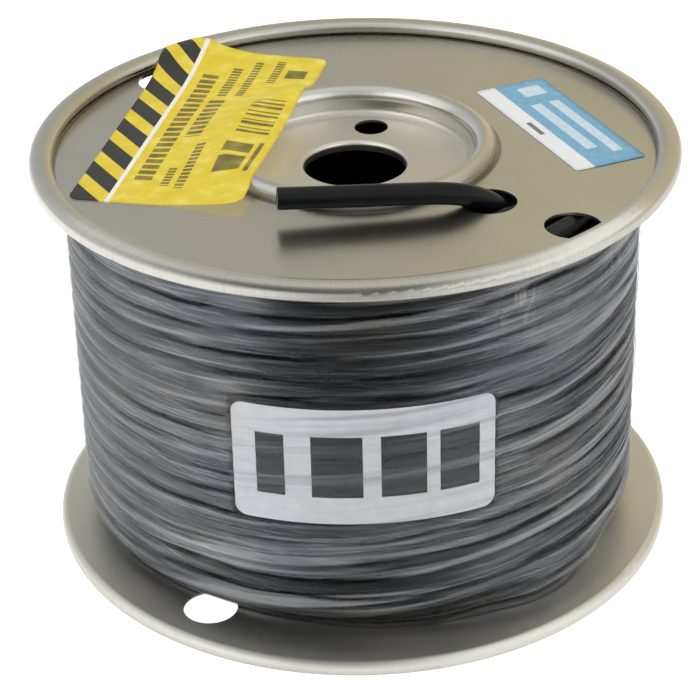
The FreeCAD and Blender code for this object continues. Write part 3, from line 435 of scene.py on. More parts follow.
# The lower one, which stands on the floor, is dulled by handling. Its tin is drawn lighter than
# the top one's as painted light, which brightens it.
dulled_lightened_tinplate = steel_material("dulled_tinplate_flange_painted_light",
                               ((0.3, "#dbd9d0"), (0.55, "#e1dfd6"), (0.8, "#e5e4dc")), 0.44)
coat(tinplate, "top_flange")
coat(dulled_lightened_tinplate, "bottom_flange")


# Barrel. A strip of bright steel rolled into a tube, with a stop rib inside each flange; its two
# ends are rolled out over the webs, which clinches the flanges and makes the hub beads.
# Painted shade: a soft dark ring round the hub bead's outer foot, and the drum's inside painted
# dark as shade.
bright_steel = steel_material("bright_rolled_steel",
                              ((0.3, "#cfcdc6"), (0.55, "#d8d7d1"), (0.8, "#dfdeda")), 0.22,
                              crease_shade=((30.8, 1.4, 0.35),), painted_shade_inside=(26.1, 46.2, 38.0))
coat(bright_steel, "barrel")


# Hub plates. Cups drawn from the same bright steel and pressed into the barrel's ends, each with
# a flanged bore for the rod and one round drive hole.
# Painted shade: thin dark rings in the cup's inner corner and at the foot of its wall.
drawn_steel = steel_material("drawn_steel_cup",
                             ((0.3, "#e2dfd4"), (0.55, "#e8e5dc"), (0.8, "#ecebe4")), 0.34,
                             crease_shade=((24.6, 0.6, 0.25), (25.6, 0.7, 0.28)))
coat(drawn_steel, "top_hub_plate", "bottom_hub_plate")


# Inner layers of the winding. They are only seen through the wire holes, as rings of black wire;
# a gap is left where the start lead comes up.
CORE_INNER, CORE_OUTER = 27.0 * MM, 57.0 * MM
WOUND_FLOOR, WOUND_TOP = 3.813 * MM, 88.613 * MM
CORE_STEPS, WALL_CUTS = 256, 3
RINGS, RING_CUTS, RING_RISE = 7, 62, 1.1 * MM
RING_PITCH = (CORE_OUTER - CORE_INNER) / RINGS
FACE_DEPTH = 2 * MM
POCKET_FROM, POCKET_TO = Vector((0.0310, -0.0240)), Vector((0.0259, -0.0280))
POCKET_FLOOR = 78.85 * MM
POCKET_EDGE = (2.9 * MM, 3.7 * MM)
LOWEST_IN, LOWEST_IN_FROM = 3.6 * MM, 48 * MM


def smooth_step(value, low, high):
    """0 below low, 1 above high, and a smooth rise between them."""
    share = min(max((value - low) / (high - low), 0.0), 1.0)
    return share * share * (3 - 2 * share)


bm = bmesh.new()
corners = [bm.verts.new((r, 0, z))
           for r, z in ((CORE_INNER, WOUND_FLOOR), (CORE_OUTER, WOUND_FLOOR),
                        (CORE_OUTER, WOUND_TOP), (CORE_INNER, WOUND_TOP))]
sides = [bm.edges.new((corners[i], corners[(i + 1) % 4])) for i in range(4)]
bmesh.ops.subdivide_edges(bm, edges=[sides[0], sides[2]], cuts=RING_CUTS)
bmesh.ops.subdivide_edges(bm, edges=[sides[1], sides[3]], cuts=WALL_CUTS)
for corner in bm.verts:
    ring = (corner.co.x - CORE_INNER) / RING_PITCH
    sunk = RING_RISE * (1 - abs(sin(pi * ring)))
    if corner.co.z > WOUND_TOP - 0.1 * MM:
        corner.co.z -= sunk
    elif corner.co.z < WOUND_FLOOR + 0.1 * MM:
        corner.co.z += sunk
bmesh.ops.spin(bm, geom=bm.verts[:] + bm.edges[:], cent=(0, 0, 0), axis=(0, 0, 1),
               angle=tau, steps=CORE_STEPS, use_merge=True)
lane = POCKET_TO - POCKET_FROM
for corner in bm.verts:
    if corner.co.z > WOUND_TOP - FACE_DEPTH:
        here = corner.co.xy - POCKET_FROM
        share = min(max(here.dot(lane) / lane.length_squared, 0.0), 1.0)
        near = (here - share * lane).length
        corner.co.z += (POCKET_FLOOR - corner.co.z) * (1 - smooth_step(near, *POCKET_EDGE))
    elif corner.co.z < WOUND_FLOOR + FACE_DEPTH:
        # The lowest wires lie further in.
        reach = corner.co.xy.length
        corner.co.xy *= 1 - LOWEST_IN * smooth_step(reach, LOWEST_IN_FROM, CORE_OUTER) / reach
bmesh.ops.recalc_face_normals(bm, faces=bm.faces)
finish_piece(bm, "inner_layers", insulation_pvc, "winding_core")


# Outer layer of the winding. Eighteen turns of the 4.7 mm wire lie side by side on the layers
# below, a little fuller to the left. The last one stops short at the back left, so the layer is
# a turn lower beyond its end.
TURNS, TURN_STEPS = 17, 72
TURN_PITCH = (WOUND_TOP - WOUND_FLOOR - 2 * WIRE_RADIUS) / TURNS
COIL_RADIUS = 60.15 * MM
LAYER_END = radians(112)
FULLER = 0.75 * MM
CALM_LOW, CALM_HIGH = (4 * MM, 14 * MM), (78 * MM, 86 * MM)
LOWEST_TURN = (7.5 * MM, 12.5 * MM)


def waver(angle, height):
    """How far a turn strays up or down at this angle and height, in metres."""
    return MM * (0.30 * sin(2 * angle + 0.9 + height / (19 * MM))
                 + 0.20 * sin(5 * angle - 1.1 + height / (13 * MM))
                 + 0.12 * sin(11 * angle + 2.0 - height / (9 * MM)))


def fullness(angle):
    """How much further out the wire and the film stand at this angle, in metres."""
    return -FULLER * cos(angle)


# How far the film's lower edge is drawn in, in mm, by azimuth in degrees. The lowest turn is drawn
# in by WIRE_SHARE of that.
WIRE_SHARE = 0.6
DRAWN_IN = ((-180, 2.0), (-150, 5.0), (-125, 7.6), (-105, 7.3), (-90, 5.6), (-65, 3.8), (-46, 3.3),
            (-30, 5.4), (-10, 4.2), (90, 4.0), (140, 3.0), (180, 2.0))


def drawn_in(angle):
    """How far the film's lower edge is drawn in at this angle, in metres."""
    azimuth = (degrees(angle) + 180) % 360 - 180
    return MM * float(np.interp(azimuth, *zip(*DRAWN_IN)))


def turn_count(angle, height):
    """The turns of wire below this point: a half over a wire's middle, whole between two."""
    return ((height - waver(angle, height) - WOUND_FLOOR) / TURN_PITCH
            - (angle - LAYER_END) / tau)


bm = bmesh.new()
bmesh.ops.create_cone(bm, cap_ends=True, segments=16, radius1=WIRE_RADIUS, radius2=WIRE_RADIUS,
                      depth=1.0, matrix=Matrix.Translation((0, 0, 0.5)))
lengthwise = [e for e in bm.edges if abs(e.verts[0].co.z - e.verts[1].co.z) > 0.5]
bmesh.ops.subdivide_edges(bm, edges=lengthwise, cuts=TURN_STEPS * TURNS - 1, use_grid_fill=True)
# The straight tube is rolled up into the helix, calm beside the flanges.
for corner in bm.verts:
    across, up, share = corner.co
    angle = LAYER_END + tau * TURNS * (share - 1)
    height = WOUND_FLOOR + WIRE_RADIUS + TURN_PITCH * TURNS * share + up
    calm = smooth_step(height, *CALM_LOW) * (1 - smooth_step(height, *CALM_HIGH))
    lowest = 1 - smooth_step(height - up, *LOWEST_TURN)
    reach = COIL_RADIUS + fullness(angle) - WIRE_SHARE * lowest * drawn_in(angle) + across
    corner.co = (reach * cos(angle), reach * sin(angle), height + calm * waver(angle, height))
bmesh.ops.recalc_face_normals(bm, faces=bm.faces)
finish_piece(bm, "wire_turns", insulation_pvc, "winding_outer_layer")


# Front label. White coated paper stuck on the wire under the film, its marks cut clear so that
# the black wire shows through them. The marks are plain blocks.
FRONT_AZIMUTH = radians(-89.6)
FRONT_HEIGHT, FRONT_ARC = 27.2, 55.1
FRONT_RADIUS = 62.66 * MM
FRONT_MIDDLE = 47.41 * MM
FRONT_BEND = 62.5
FRONT_DIP = 0.12 * MM
FRONT_BLOCKS = ((-22.5, -16.5), (-11.0, -0.5), (3.2, 12.6), (15.4, 24.0))
BLOCK_HALF = 7.2


def cut_sheet(length, width, corner, step):
    """A flat sheet with rounded corners, cut into cells, its UV map in mm. All sizes are in mm."""
    bm = bmesh.new()
    bmesh.ops.create_grid(bm, x_segments=1, y_segments=1, size=0.5,
                          matrix=Matrix.Diagonal((length * MM, width * MM, 1, 1)))
    bmesh.ops.bevel(bm, geom=bm.verts[:], offset=corner * MM, segments=6, profile=0.5,
                    affect="VERTICES", material=-1)
    for axis, size in ((Vector((1, 0, 0)), length), (Vector((0, 1, 0)), width)):
        cells = round(size / step)
        for i in range(1, cells):
            bmesh.ops.bisect_plane(bm, geom=bm.verts[:] + bm.edges[:] + bm.faces[:],
                                   plane_co=axis * MM * size * (i / cells - 0.5), plane_no=axis)
    layer = bm.loops.layers.uv.new("print")
    for face in bm.faces:
        for loop in face.loops:
            loop[layer].uv = (loop.vert.co.x / MM, loop.vert.co.y / MM)
    return bm


def box_mask(add, across, up, left, right, low, high):
    """1 inside a rectangle of the print, in mm, and 0 outside it."""
    inside = None
    for socket, low_end, high_end in ((across, left, right), (up, low, high)):
        middle, half = (low_end + high_end) / 2, (high_end - low_end) / 2
        off = add("Math", {0: socket, 1: middle}, operation="SUBTRACT")
        off = add("Math", {0: off}, operation="ABSOLUTE")
        near = add("Math", {0: off, 1: half}, operation="LESS_THAN")
        inside = near if inside is None else add("Math", {0: inside, 1: near}, operation="MULTIPLY")
    return inside


def either(add, masks):
    """The masks joined into one."""
    joined = masks[0]
    for mask in masks[1:]:
        joined = add("Math", {0: joined, 1: mask}, operation="MAXIMUM")
    return joined


front_paper, add = new_material("white_coated_paper")
print_map = add("UVMap", uv_map="print")
across, up = add("SeparateXYZ", {0: print_map}).outputs[:2]
clear = either(add, [box_mask(add, across, up, left, right, -BLOCK_HALF, BLOCK_HALF)
                     for left, right in FRONT_BLOCKS])
mottle = add("TexNoise", {"Vector": print_map, "Scale": 0.35, "Detail": 4.0})
tint = add("ValToRGB", {"Fac": mottle}, stops=((0.3, "#dfe2e6"), (0.7, "#eceef0")))
solid = add("MapRange", {"Value": clear, "To Min": 1.0, "To Max": 0.06})
shader = add("BsdfPrincipled", {"Base Color": tint, "Roughness": 0.45, "Alpha": solid})
add("OutputMaterial", {"Surface": shader})

bm = cut_sheet(FRONT_ARC, FRONT_HEIGHT, corner=2.6, step=0.9)
for corner in bm.verts:
    along, rise = corner.co.x, corner.co.y
    angle = FRONT_AZIMUTH + along / (FRONT_BEND * MM)
    height = FRONT_MIDDLE + rise
    sunk = 0.5 + 0.5 * cos(tau * turn_count(angle, height))
    radius = FRONT_RADIUS + fullness(angle) - FRONT_DIP * sunk
    corner.co = (radius * cos(angle), radius * sin(angle), height)
finish_piece(bm, "front_marker", front_paper, "front_label")


# Stretch film. Clear polyethylene film wound round the wire under tension, many layers of it, its
# end stuck down at the back. It bridges the gaps between turns, and its folds and milky streaks
# run along the wire. At the lower right it comes off the wire as a skirt.
FILM_RADIUS = 62.76 * MM
FILM_FLOOR, FILM_TOP = 3.95 * MM, 88.45 * MM
FILM_ROWS, FILM_COLUMNS = 168, 500
FILM_END = radians(100)

stretch_film, add = new_material("polyethylene_stretch_film")
film_map = add("UVMap", uv_map="wrap")
cover_and_shade = add("Attribute", attribute_name="cover_and_shade").outputs["Fac"]
crinkled = add("Attribute", attribute_name="crinkle").outputs["Fac"]
smoothed = add("Attribute", attribute_name="smoothed").outputs["Fac"]
# The film's fine draw lines are drawn 0.35 mm wide and 12 mm long, as coarse as they show here.
LAID = (("fine", 0.01, (75.0, 2400.0, 1.0), 2.0), ("broad", -0.03, (22.0, 560.0, 1.0), 3.0),
        ("slant", 0.22, (50.0, 1500.0, 1.0), 2.0), ("bands", -0.05, (9.0, 300.0, 1.0), 2.0),
        ("strokes", 0.0, (26.0, 270.0, 1.0), 3.0), ("pleats", 0.22, (1000.0, 110.0, 1.0), 2.0))
streaks = {"cover_and_shade": cover_and_shade, "smoothed": smoothed}
for name, turn, scale, detail in LAID:
    laid = add("Mapping", {"Vector": film_map, "Rotation": (0, 0, turn)})
    laid = add("Mapping", {"Vector": laid, "Scale": scale})
    streaks[name] = add("TexNoise", {"Vector": laid, "Scale": 1.0, "Detail": detail,
                                     "Distortion": 0.25})
streaks["haze"] = add("TexNoise", {"Vector": film_map, "Scale": 45.0, "Detail": 4.0})
# Where the film dips between two turns it is cleared, so that the black wire below shows as a
# dark stroke, narrow and broken: this is painted shade in the groove.
ragged = add("MapRange", {"Value": streaks["broad"], "From Min": 0.2, "From Max": 0.8,
                          "To Min": -0.3 * MM, "To Max": 0.3 * MM})
around = add("SeparateXYZ", {0: film_map}).outputs[1]
around = add("Math", {0: around, 1: ragged}, operation="ADD")
around = add("Math", {0: around, 1: tau / TURN_PITCH}, operation="MULTIPLY")
streaks["gap"] = add("Math", {0: around}, operation="COSINE")
# What each pattern adds: the part of its range that counts, and what the two ends of that give.
SHARES = (("gap", "gap", 0.35, 0.95, 0.0, 1.0), ("broken", "strokes", 0.44, 0.56, 0.1, 1.0),
          ("veil", "haze", 0.3, 0.7, 0.16, 0.24), ("milk", "bands", 0.5, 0.61, 0.0, 0.48),
          ("fine", "fine", 0.48, 0.72, 0.0, 0.24), ("broad", "broad", 0.5, 0.7, 0.0, 0.3),
          ("slant", "slant", 0.62, 0.76, 0.0, 0.25), ("pleats", "pleats", 0.48, 0.7, 0.0, 0.28),
          ("lined", "cover_and_shade", 0.0, 0.6, 0.15, 1.0), ("clear", "cover_and_shade", 0.35, 0.9, 1.0, 0.25),
          ("varied", "smoothed", 0.2, 0.8, 0.5, 1.0), ("rough", "broad", 0.3, 0.7, 0.28, 0.4))
share = {}
for name, pattern, low, high, least, most in SHARES:
    share[name] = add("MapRange", {"Value": streaks[pattern], "From Min": low, "From Max": high,
                                   "To Min": least, "To Max": most})
# Painted shade: along the grooves the film is cleared, so the black wire darkens them.
strokes = add("Math", {0: share["gap"], 1: share["broken"]}, operation="MULTIPLY")
strokes = add("Math", {0: strokes, 1: smoothed}, operation="MULTIPLY")
clear_of_groove_shade = add("Math", {0: 1.0, 1: strokes}, operation="SUBTRACT")
lines = add("Math", {0: share["fine"], 1: share["broad"]}, operation="ADD")
lines = add("Math", {0: lines, 1: share["slant"]}, operation="ADD")
lines = add("Math", {0: lines, 1: share["lined"]}, operation="MULTIPLY")
lines = add("Math", {0: share["milk"], 1: share["clear"], 2: lines}, operation="MULTIPLY_ADD")
lines = add("Math", {0: lines, 1: share["varied"]}, operation="MULTIPLY")
total = add("Math", {0: share["veil"], 1: cover_and_shade, 2: lines}, operation="MULTIPLY_ADD")
total = add("Math", {0: total, 1: clear_of_groove_shade}, operation="MULTIPLY")
total = add("Math", {0: share["pleats"], 1: crinkled, 2: total}, operation="MULTIPLY_ADD",
            use_clamp=True)
tint = add("ValToRGB", {"Fac": streaks["haze"]}, stops=((0.35, "#a9aeb8"), (0.5, "#b2b4b9"),
                                                        (0.7, "#b7b6b4")))
bump = add("Bump", {"Height": streaks["broad"], "Strength": 0.5, "Distance": 0.0006})
# Each layer mirrors a little, so the stack mirrors much more than one sheet: it is part metallic.
shader = add("BsdfPrincipled", {"Base Color": tint, "IOR": 1.5, "Metallic": 0.75,
                                "Roughness": share["rough"], "Alpha": total, "Normal": bump})
add("OutputMaterial", {"Surface": shader})

bm = bmesh.new()
bmesh.ops.create_cone(bm, cap_ends=False, segments=FILM_COLUMNS, radius1=FILM_RADIUS,
                      radius2=FILM_RADIUS, depth=FILM_TOP - FILM_FLOOR,
                      matrix=Matrix.Translation((0, 0, (FILM_FLOOR + FILM_TOP) / 2)))
uprights = [e for e in bm.edges if abs(e.verts[0].co.z - e.verts[1].co.z) > MM]
bmesh.ops.subdivide_edges(bm, edges=uprights, cuts=FILM_ROWS - 1, use_grid_fill=True)
wrap = bm.loops.layers.uv.new("wrap")
for face in bm.faces:
    middle = face.calc_center_median()
    middle = (atan2(middle.y, middle.x) - FILM_END) % tau
    for loop in face.loops:
        angle = atan2(loop.vert.co.y, loop.vert.co.x) - FILM_END
        angle += tau * round((middle - angle) / tau)
        loop[wrap].uv = (angle * FILM_RADIUS,
                         turn_count(angle + FILM_END, loop.vert.co.z) * TURN_PITCH)

# Patches of the film: the azimuth and level of the middle, both half widths in degrees and mm,
# and how much milkier or clearer the film is there. Crinkles have their strength instead.
LEFT_SIDE = (-172, 46, 52, 110)
# The thin patch just under the rim, at level 89, is painted shade: the film is cleared there so the
# black wire darkens it, as the rim shades it.
FILM_PATCHES = ((*LEFT_SIDE, 0.1), (-88, 74, 38, 26, -0.8), (-98, 12, 56, 26, -0.9),
                (-22, 40, 52, 60, -0.55), (-88, 89, 70, 7, -0.8), (-24, 82, 18, 12, 1.1),
                (-138, 82, 22, 8, 0.5), (-112, 83, 8, 3, 0.9), (-116, 63, 7, 3, 0.8),
                (-50, 70, 20, 5, 0.8), (-60, 79, 10, 8, 0.5))
CRINKLES = ((-60, 79, 8, 6, 1.0), (-27, 80, 14, 9, 0.6))
# The skirt is the same kind of patch; it stands off by SKIRT_OUT.
SKIRT, SKIRT_OUT = (-47, 7, 24, 12), 2.2 * MM
# Two noises make the film slack in places and let it bulge: their size round the spool, given as
# the radius of a circle through the noise, and their size up it.
SLACK_ROUND, SLACK_UP = 3.6, 7 * MM
BULGE_ROUND, BULGE_UP, BULGE_OUT, BULGE_LEAST = 1.7, 30 * MM, 0.3, -0.05
# The dips between two turns: the sharpness of their edges, and their depth in mm where the film is
# taut and what slack adds.
DIP_SHARPNESS, DIP_TAUT, DIP_SLACK = 1.5, 0.1, 0.65
DRAWN_FROM, DRAWN_TO, DRAWN_CURVE = 13 * MM, 4 * MM, 1.5
BACK_END = [radians(azimuth) for azimuth in (108, 124, 150, 166)]
BACK_LOWER, BACK_FROM, BACK_TO = 4.3 * MM, 66 * MM, 88 * MM


def patch_share(angle, height, azimuth, level, half_angle, half_height):
    """1 at the middle of an oval patch of the film and 0 outside it."""
    off = (degrees(angle) - azimuth + 180) % 360 - 180
    away = hypot(off / half_angle, (height / MM - level) / half_height)
    return 1 - smooth_step(away, 0.3, 1)


def film_noise(angle, height, round_size, up_size, start=0):
    """A smooth noise on the film, from about -1 to 1."""
    return noise.noise(Vector((cos(angle) * round_size, sin(angle) * round_size,
                               height / up_size + start)))


cover_and_shade_layer, crinkle_layer, smoothed_layer = [bm.verts.layers.float.new(name) for name in (
    "cover_and_shade", "crinkle", "smoothed")]
for corner in bm.verts:
    angle, height = atan2(corner.co.y, corner.co.x), corner.co.z
    groove = (0.5 + 0.5 * cos(tau * turn_count(angle, height))) ** DIP_SHARPNESS
    slack = smooth_step(film_noise(angle, height, SLACK_ROUND, SLACK_UP), -0.35, 0.4)
    left_side = patch_share(angle, height, *LEFT_SIDE)
    depth = groove * (DIP_TAUT + DIP_SLACK * slack) * (1 - 0.85 * left_side)
    # Over the front label the film is flatter and clearer.
    along = abs(angle - FRONT_AZIMUTH) * FRONT_BEND - FRONT_ARC / 2
    rise = abs(height - FRONT_MIDDLE) / MM - FRONT_HEIGHT / 2
    beside = smooth_step(max(along, rise), -0.2, 1.6)
    depth *= 0.16 + 0.84 * beside
    milky = 1 + sum(amount * patch_share(angle, height, *patch) for *patch, amount in FILM_PATCHES)
    corner[cover_and_shade_layer] = max(0, milky) * (0.3 + 0.7 * beside)
    corner[smoothed_layer] = (0.3 + 0.6 * beside) * (1 - 0.75 * left_side)
    corner[crinkle_layer] = beside * max(strength * patch_share(angle, height, *patch)
                                         for *patch, strength in CRINKLES)
    bulge = BULGE_OUT * film_noise(angle, height, BULGE_ROUND, BULGE_UP, 7)
    radius = FILM_RADIUS + fullness(angle) - MM * (depth - max(bulge, BULGE_LEAST))
    radius -= drawn_in(angle) * (1 - smooth_step(height, DRAWN_TO, DRAWN_FROM)) ** DRAWN_CURVE
    radius += SKIRT_OUT * patch_share(angle, height, *SKIRT) ** 2
    # At the back left the film ends lower, over the end of the wire.
    lower = smooth_step(angle, *BACK_END[:2]) * (1 - smooth_step(angle, *BACK_END[2:]))
    height -= BACK_LOWER * lower * smooth_step(height, BACK_FROM, BACK_TO)
    corner.co = (radius * cos(angle), radius * sin(angle), height)
finish_piece(bm, "film_wrap", stretch_film, "stretch_film")


# Striped label. Yellow printed paper stuck to the top flange. It climbs over the hub bead and the
# rim, where it is folded down, and its near right corner stands off. The print is plain bars.
LABEL_CORNERS = (Vector((-60.2, -22.0)), Vector((-23.8, -29.4)), Vector((-5.4, 49.9)),
                 Vector((-42.2, 59.5)))
STRIPED_LENGTH, STRIPED_WIDTH = 81.5, 37.0
SHEET_COLUMNS, SHEET_ROWS = 109, 50
WEB_FACE = 89.313 * MM
RIM_CREST, RIM_CREST_LEVEL = 67.79, 92.43
RIM_BENDS = ((3.26, 25), (1.58, 65))
CREST_GAP, WEB_GAP = 0.08, 0.07
CORNER_LEVEL, CORNER_SLOPE = 91.3, 0.2
# The stripes lean across a band along one edge, which a thin pale line closes.
BAND_EDGE, LINE_WIDTH = STRIPED_WIDTH / 2 - 8.0, 1.0
STRIPE_LEAN, STRIPE_PITCH, STRIPE_START, STRIPE_SHARE = 1.09, 11.1, 0.351, 0.55

yellow_paper, add = new_material("yellow_printed_paper")
print_map = add("UVMap", uv_map="print")
across, up = add("SeparateXYZ", {0: print_map}).outputs[:2]
lean = add("Math", {0: up, 1: STRIPE_LEAN}, operation="MULTIPLY")
bar = add("Math", {0: across, 1: lean}, operation="SUBTRACT")
for operation, value in (("DIVIDE", STRIPE_PITCH), ("ADD", STRIPE_START), ("FRACT", 0.0),
                         ("LESS_THAN", STRIPE_SHARE)):
    bar = add("Math", {0: bar, 1: value}, operation=operation)
band = add("Math", {0: up, 1: BAND_EDGE}, operation="GREATER_THAN")
bars = add("Math", {0: bar, 1: band}, operation="MULTIPLY")
line = box_mask(add, across, up, -STRIPED_LENGTH, STRIPED_LENGTH, BAND_EDGE - LINE_WIDTH, BAND_EDGE)
# Lines of print, each as a row of plain upright bars: its ends, its low and high edge, and the
# spacing of its bars.
PRINT_ROWS = ((-30.0, 27.0, 3.6, 7.4, 2.7), (-9.0, 13.0, -1.4, 2.2, 2.6),
              (15.0, 31.0, -0.8, 1.4, 1.5), (-32.0, -24.0, -0.6, 1.2, 1.3),
              (-33.0, -13.0, -4.0, -2.0, 1.6), (15.0, 36.0, -4.6, -2.8, 1.5),
              (24.0, 37.0, -9.6, -7.6, 1.4))
BAR_SHARE = 0.68
PRINT_BLOCKS = ((-27.0, -20.5, -14.6, -8.6), (-18.5, -13.5, -14.6, -8.6),
                (-28.0, -12.5, -16.6, -15.6), (27.5, 32.5, -15.6, -11.0))
# A block of bars: its left, low and high edge, the spacing of its bars and their widths.
CODE_LEFT, CODE_LOW, CODE_HIGH, CODE_PITCH = -8.0, -16.2, -9.0, 2.1
CODE_WIDTHS = (1.2, 0.6, 1.4, 0.5, 1.0, 0.6, 1.3, 0.9, 0.5)
marks = [box_mask(add, across, up, *spot) for spot in PRINT_BLOCKS]
for left, right, low, high, spacing in PRINT_ROWS:
    row = box_mask(add, across, up, left, right, low, high)
    beat = add("Math", {0: across, 1: spacing}, operation="DIVIDE")
    beat = add("Math", {0: beat}, operation="FRACT")
    beat = add("Math", {0: beat, 1: BAR_SHARE}, operation="LESS_THAN")
    marks.append(add("Math", {0: row, 1: beat}, operation="MULTIPLY"))
for i, wide in enumerate(CODE_WIDTHS):
    left = CODE_LEFT + CODE_PITCH * i
    marks.append(box_mask(add, across, up, left, left + wide, CODE_LOW, CODE_HIGH))
mottle = add("TexNoise", {"Vector": print_map, "Scale": 0.22, "Detail": 5.0, "Roughness": 0.6})
field = add("ValToRGB", {"Fac": mottle}, stops=((0.3, "#cfb419"), (0.52, "#d8c028"),
                                                (0.66, "#dfcd58"), (0.8, "#e4d88a")))
worn = add("MapRange", {"Value": mottle, "From Min": 0.35, "From Max": 0.7, "To Min": 0.9,
                        "To Max": 0.6})
faint = add("Math", {0: either(add, marks), 1: worn}, operation="MULTIPLY")
printed = field
for mask, ink in ((faint, "#3c3820"), (bars, "#242321"), (line, "#e2e0d2")):
    printed = add("Mix", {"Factor": mask, 6: printed, 7: linear(ink)}, data_type="RGBA").outputs[2]
# The underside is white, and glows with painted light, which stands in for the light that comes
# through the paper.
facing = add("SeparateXYZ", {0: add("TexCoord").outputs["Normal"]})
painted_glow = add("MapRange", {"Value": facing.outputs[2], "From Min": -0.2, "From Max": -0.6,
                        "To Min": 0.0, "To Max": 0.45})
shader = add("BsdfPrincipled", {"Base Color": printed, "Roughness": 0.42,
                                "Emission Color": linear("#f3ecd2"), "Emission Strength": painted_glow})
add("OutputMaterial", {"Surface": shader})

bm = cut_sheet(STRIPED_LENGTH, STRIPED_WIDTH, corner=2.5, step=0.75)
scene_now = bpy.context.evaluated_depsgraph_get()
below = [BVHTree.FromObject(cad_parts[node], scene_now)
         for node in ("top_flange", "barrel", "top_hub_plate")]
PROBE_FROM = 120 * MM


def carried_at(spot):
    """The level of the metal under a point of the label, both in mm."""
    probe = Vector((spot.x * MM, spot.y * MM, PROBE_FROM))
    found = [metal.ray_cast(probe, Vector((0, 0, -1)))[0] for metal in below]
    found = [hit.z for hit in found if hit is not None and hit.z > WEB_FACE - 0.5 * MM]
    return max(found, default=WEB_FACE - 1) / MM


plan = np.zeros((SHEET_COLUMNS, SHEET_ROWS, 2))
rest = np.zeros((SHEET_COLUMNS, SHEET_ROWS))
for i in range(SHEET_COLUMNS):
    for j in range(SHEET_ROWS):
        u, v = i / (SHEET_COLUMNS - 1), j / (SHEET_ROWS - 1)
        low = LABEL_CORNERS[0].lerp(LABEL_CORNERS[1], v)
        high = LABEL_CORNERS[3].lerp(LABEL_CORNERS[2], v)
        spot = low.lerp(high, u)
        plan[i, j] = spot
        past = spot.length > RIM_CREST
        rest[i, j] = RIM_CREST_LEVEL + CREST_GAP if past else carried_at(spot) + WEB_GAP
away = np.hypot(plan[..., 0] - LABEL_CORNERS[1].x, plan[..., 1] - LABEL_CORNERS[1].y)
rest = np.maximum(rest, CORNER_LEVEL - CORNER_SLOPE * away)
level = np.maximum(rest, WEB_FACE / MM)
# The sheet settles on what is below it, and then its sharp bends are eased: the number of rounds,
# how much of its level a point keeps, and how far it sags in a round.
for rounds, kept, sag in ((900, 0.1, 0.0022), (60, 0.5, 0.0)):
    for step in range(rounds):
        spread = np.pad(level, 1, mode="edge")
        mean = (spread[:-2, 1:-1] + spread[2:, 1:-1] + spread[1:-1, :-2] + spread[1:-1, 2:]) / 4
        level = np.maximum(rest, kept * level + (1 - kept) * mean - sag)


def label_point(length_share, width_share):
    """The point of the striped label at these shares of its length and width, in metres."""
    i, j = length_share * (SHEET_COLUMNS - 1), width_share * (SHEET_ROWS - 1)
    a, b = min(int(i), SHEET_COLUMNS - 2), min(int(j), SHEET_ROWS - 2)
    s, t = i - a, j - b
    spot = sum((w * np.append(plan[c, d], level[c, d]) for c, d, w in (
        (a, b, (1 - s) * (1 - t)), (a + 1, b, s * (1 - t)), (a, b + 1, (1 - s) * t),
        (a + 1, b + 1, s * t))), np.zeros(3))
    reach = hypot(spot[0], spot[1])
    if reach > RIM_CREST:
        # Past the crest the label follows the rim's rounded edge and then hangs down its side.
        over, new, turned = reach - RIM_CREST, RIM_CREST, 0.0
        for bend, turn in RIM_BENDS:
            ahead = turned + min(over / bend, radians(turn))
            new += bend * (sin(ahead) - sin(turned))
            spot[2] -= bend * (cos(turned) - cos(ahead))
            over -= bend * (ahead - turned)
            turned = ahead
        spot[2] -= over
        spot[:2] *= new / reach
    return Vector(spot) * MM


for corner in bm.verts:
    corner.co = label_point(corner.co.x / MM / STRIPED_LENGTH + 0.5,
                            0.5 - corner.co.y / MM / STRIPED_WIDTH)
striped_label = finish_piece(bm, "striped_marker", yellow_paper, "hazard_label")
LABEL_GAUGE = 0.1 * MM


def thicken(label, name):
    """Gives a label its thickness, outwards."""
    gauge = label.modifiers.new(name, "SOLIDIFY")
    gauge.thickness = LABEL_GAUGE
    gauge.offset = 1.0


thicken(striped_label, "paper_gauge")


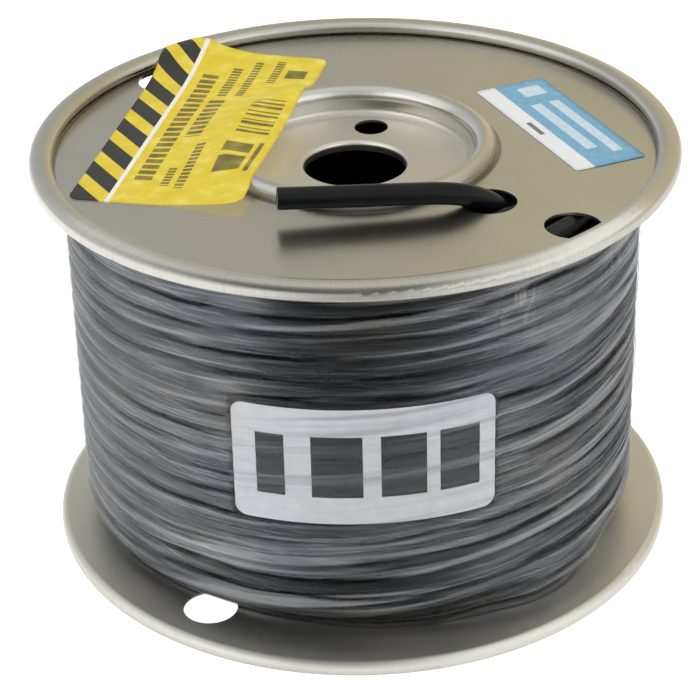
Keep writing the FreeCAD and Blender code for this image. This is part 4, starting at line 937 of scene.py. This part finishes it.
# Blue label. Thin printed film label with a white margin, stuck flat on the web and a little worn.
# The print is plain bars.
BLUE_CORNERS = (Vector((27.9, 28.7)), Vector((46.6, -14.4)), Vector((62.0, -7.8)),
                Vector((43.5, 35.8)))
BLUE_LENGTH, BLUE_WIDTH, BLUE_MARGIN_EDGE = 47.2, 16.9, -3.9
BLUE_GAP = 0.06 * MM
PALE_BARS = ((-11.0, 18.5, 3.4, 5.8), (-11.0, 15.0, -1.2, 1.4), (-20.5, -15.5, 0.2, 5.6))
DARK_BAR = (-3.0, 4.0, -6.6, -5.4)
blue_vinyl, add = new_material("blue_printed_vinyl")
print_map = add("UVMap", uv_map="print")
across, up = add("SeparateXYZ", {0: print_map}).outputs[:2]
margin = add("Math", {0: up, 1: BLUE_MARGIN_EDGE}, operation="LESS_THAN")
pale = either(add, [box_mask(add, across, up, *spot) for spot in PALE_BARS])
dark = box_mask(add, across, up, *DARK_BAR)
scuff = add("TexNoise", {"Vector": print_map, "Scale": 0.6, "Detail": 5.0})
field = add("ValToRGB", {"Fac": scuff}, stops=((0.3, "#6699b4"), (0.6, "#70a3bd"),
                                               (0.85, "#96b7c8")))
worn = add("MapRange", {"Value": scuff, "From Min": 0.3, "From Max": 0.7, "To Min": 0.75,
                        "To Max": 0.45})
faint = add("Math", {0: pale, 1: worn}, operation="MULTIPLY")
printed = field
for mask, ink in ((faint, "#dfe4e6"), (margin, "#dcdcda"), (dark, "#6d6d6b")):
    printed = add("Mix", {"Factor": mask, 6: printed, 7: linear(ink)}, data_type="RGBA").outputs[2]
shader = add("BsdfPrincipled", {"Base Color": printed, "Roughness": 0.38})
add("OutputMaterial", {"Surface": shader})

bm = cut_sheet(BLUE_LENGTH, BLUE_WIDTH, corner=0.8, step=1.6)
for corner in bm.verts:
    u, v = corner.co.x / MM / BLUE_LENGTH + 0.5, corner.co.y / MM / BLUE_WIDTH + 0.5
    low = BLUE_CORNERS[0].lerp(BLUE_CORNERS[1], u)
    spot = low.lerp(BLUE_CORNERS[3].lerp(BLUE_CORNERS[2], u), v)
    corner.co = (spot.x * MM, spot.y * MM, WEB_FACE + BLUE_GAP)
blue_piece = finish_piece(bm, "blue_marker", blue_vinyl, "blue_label")
thicken(blue_piece, "vinyl_gauge")
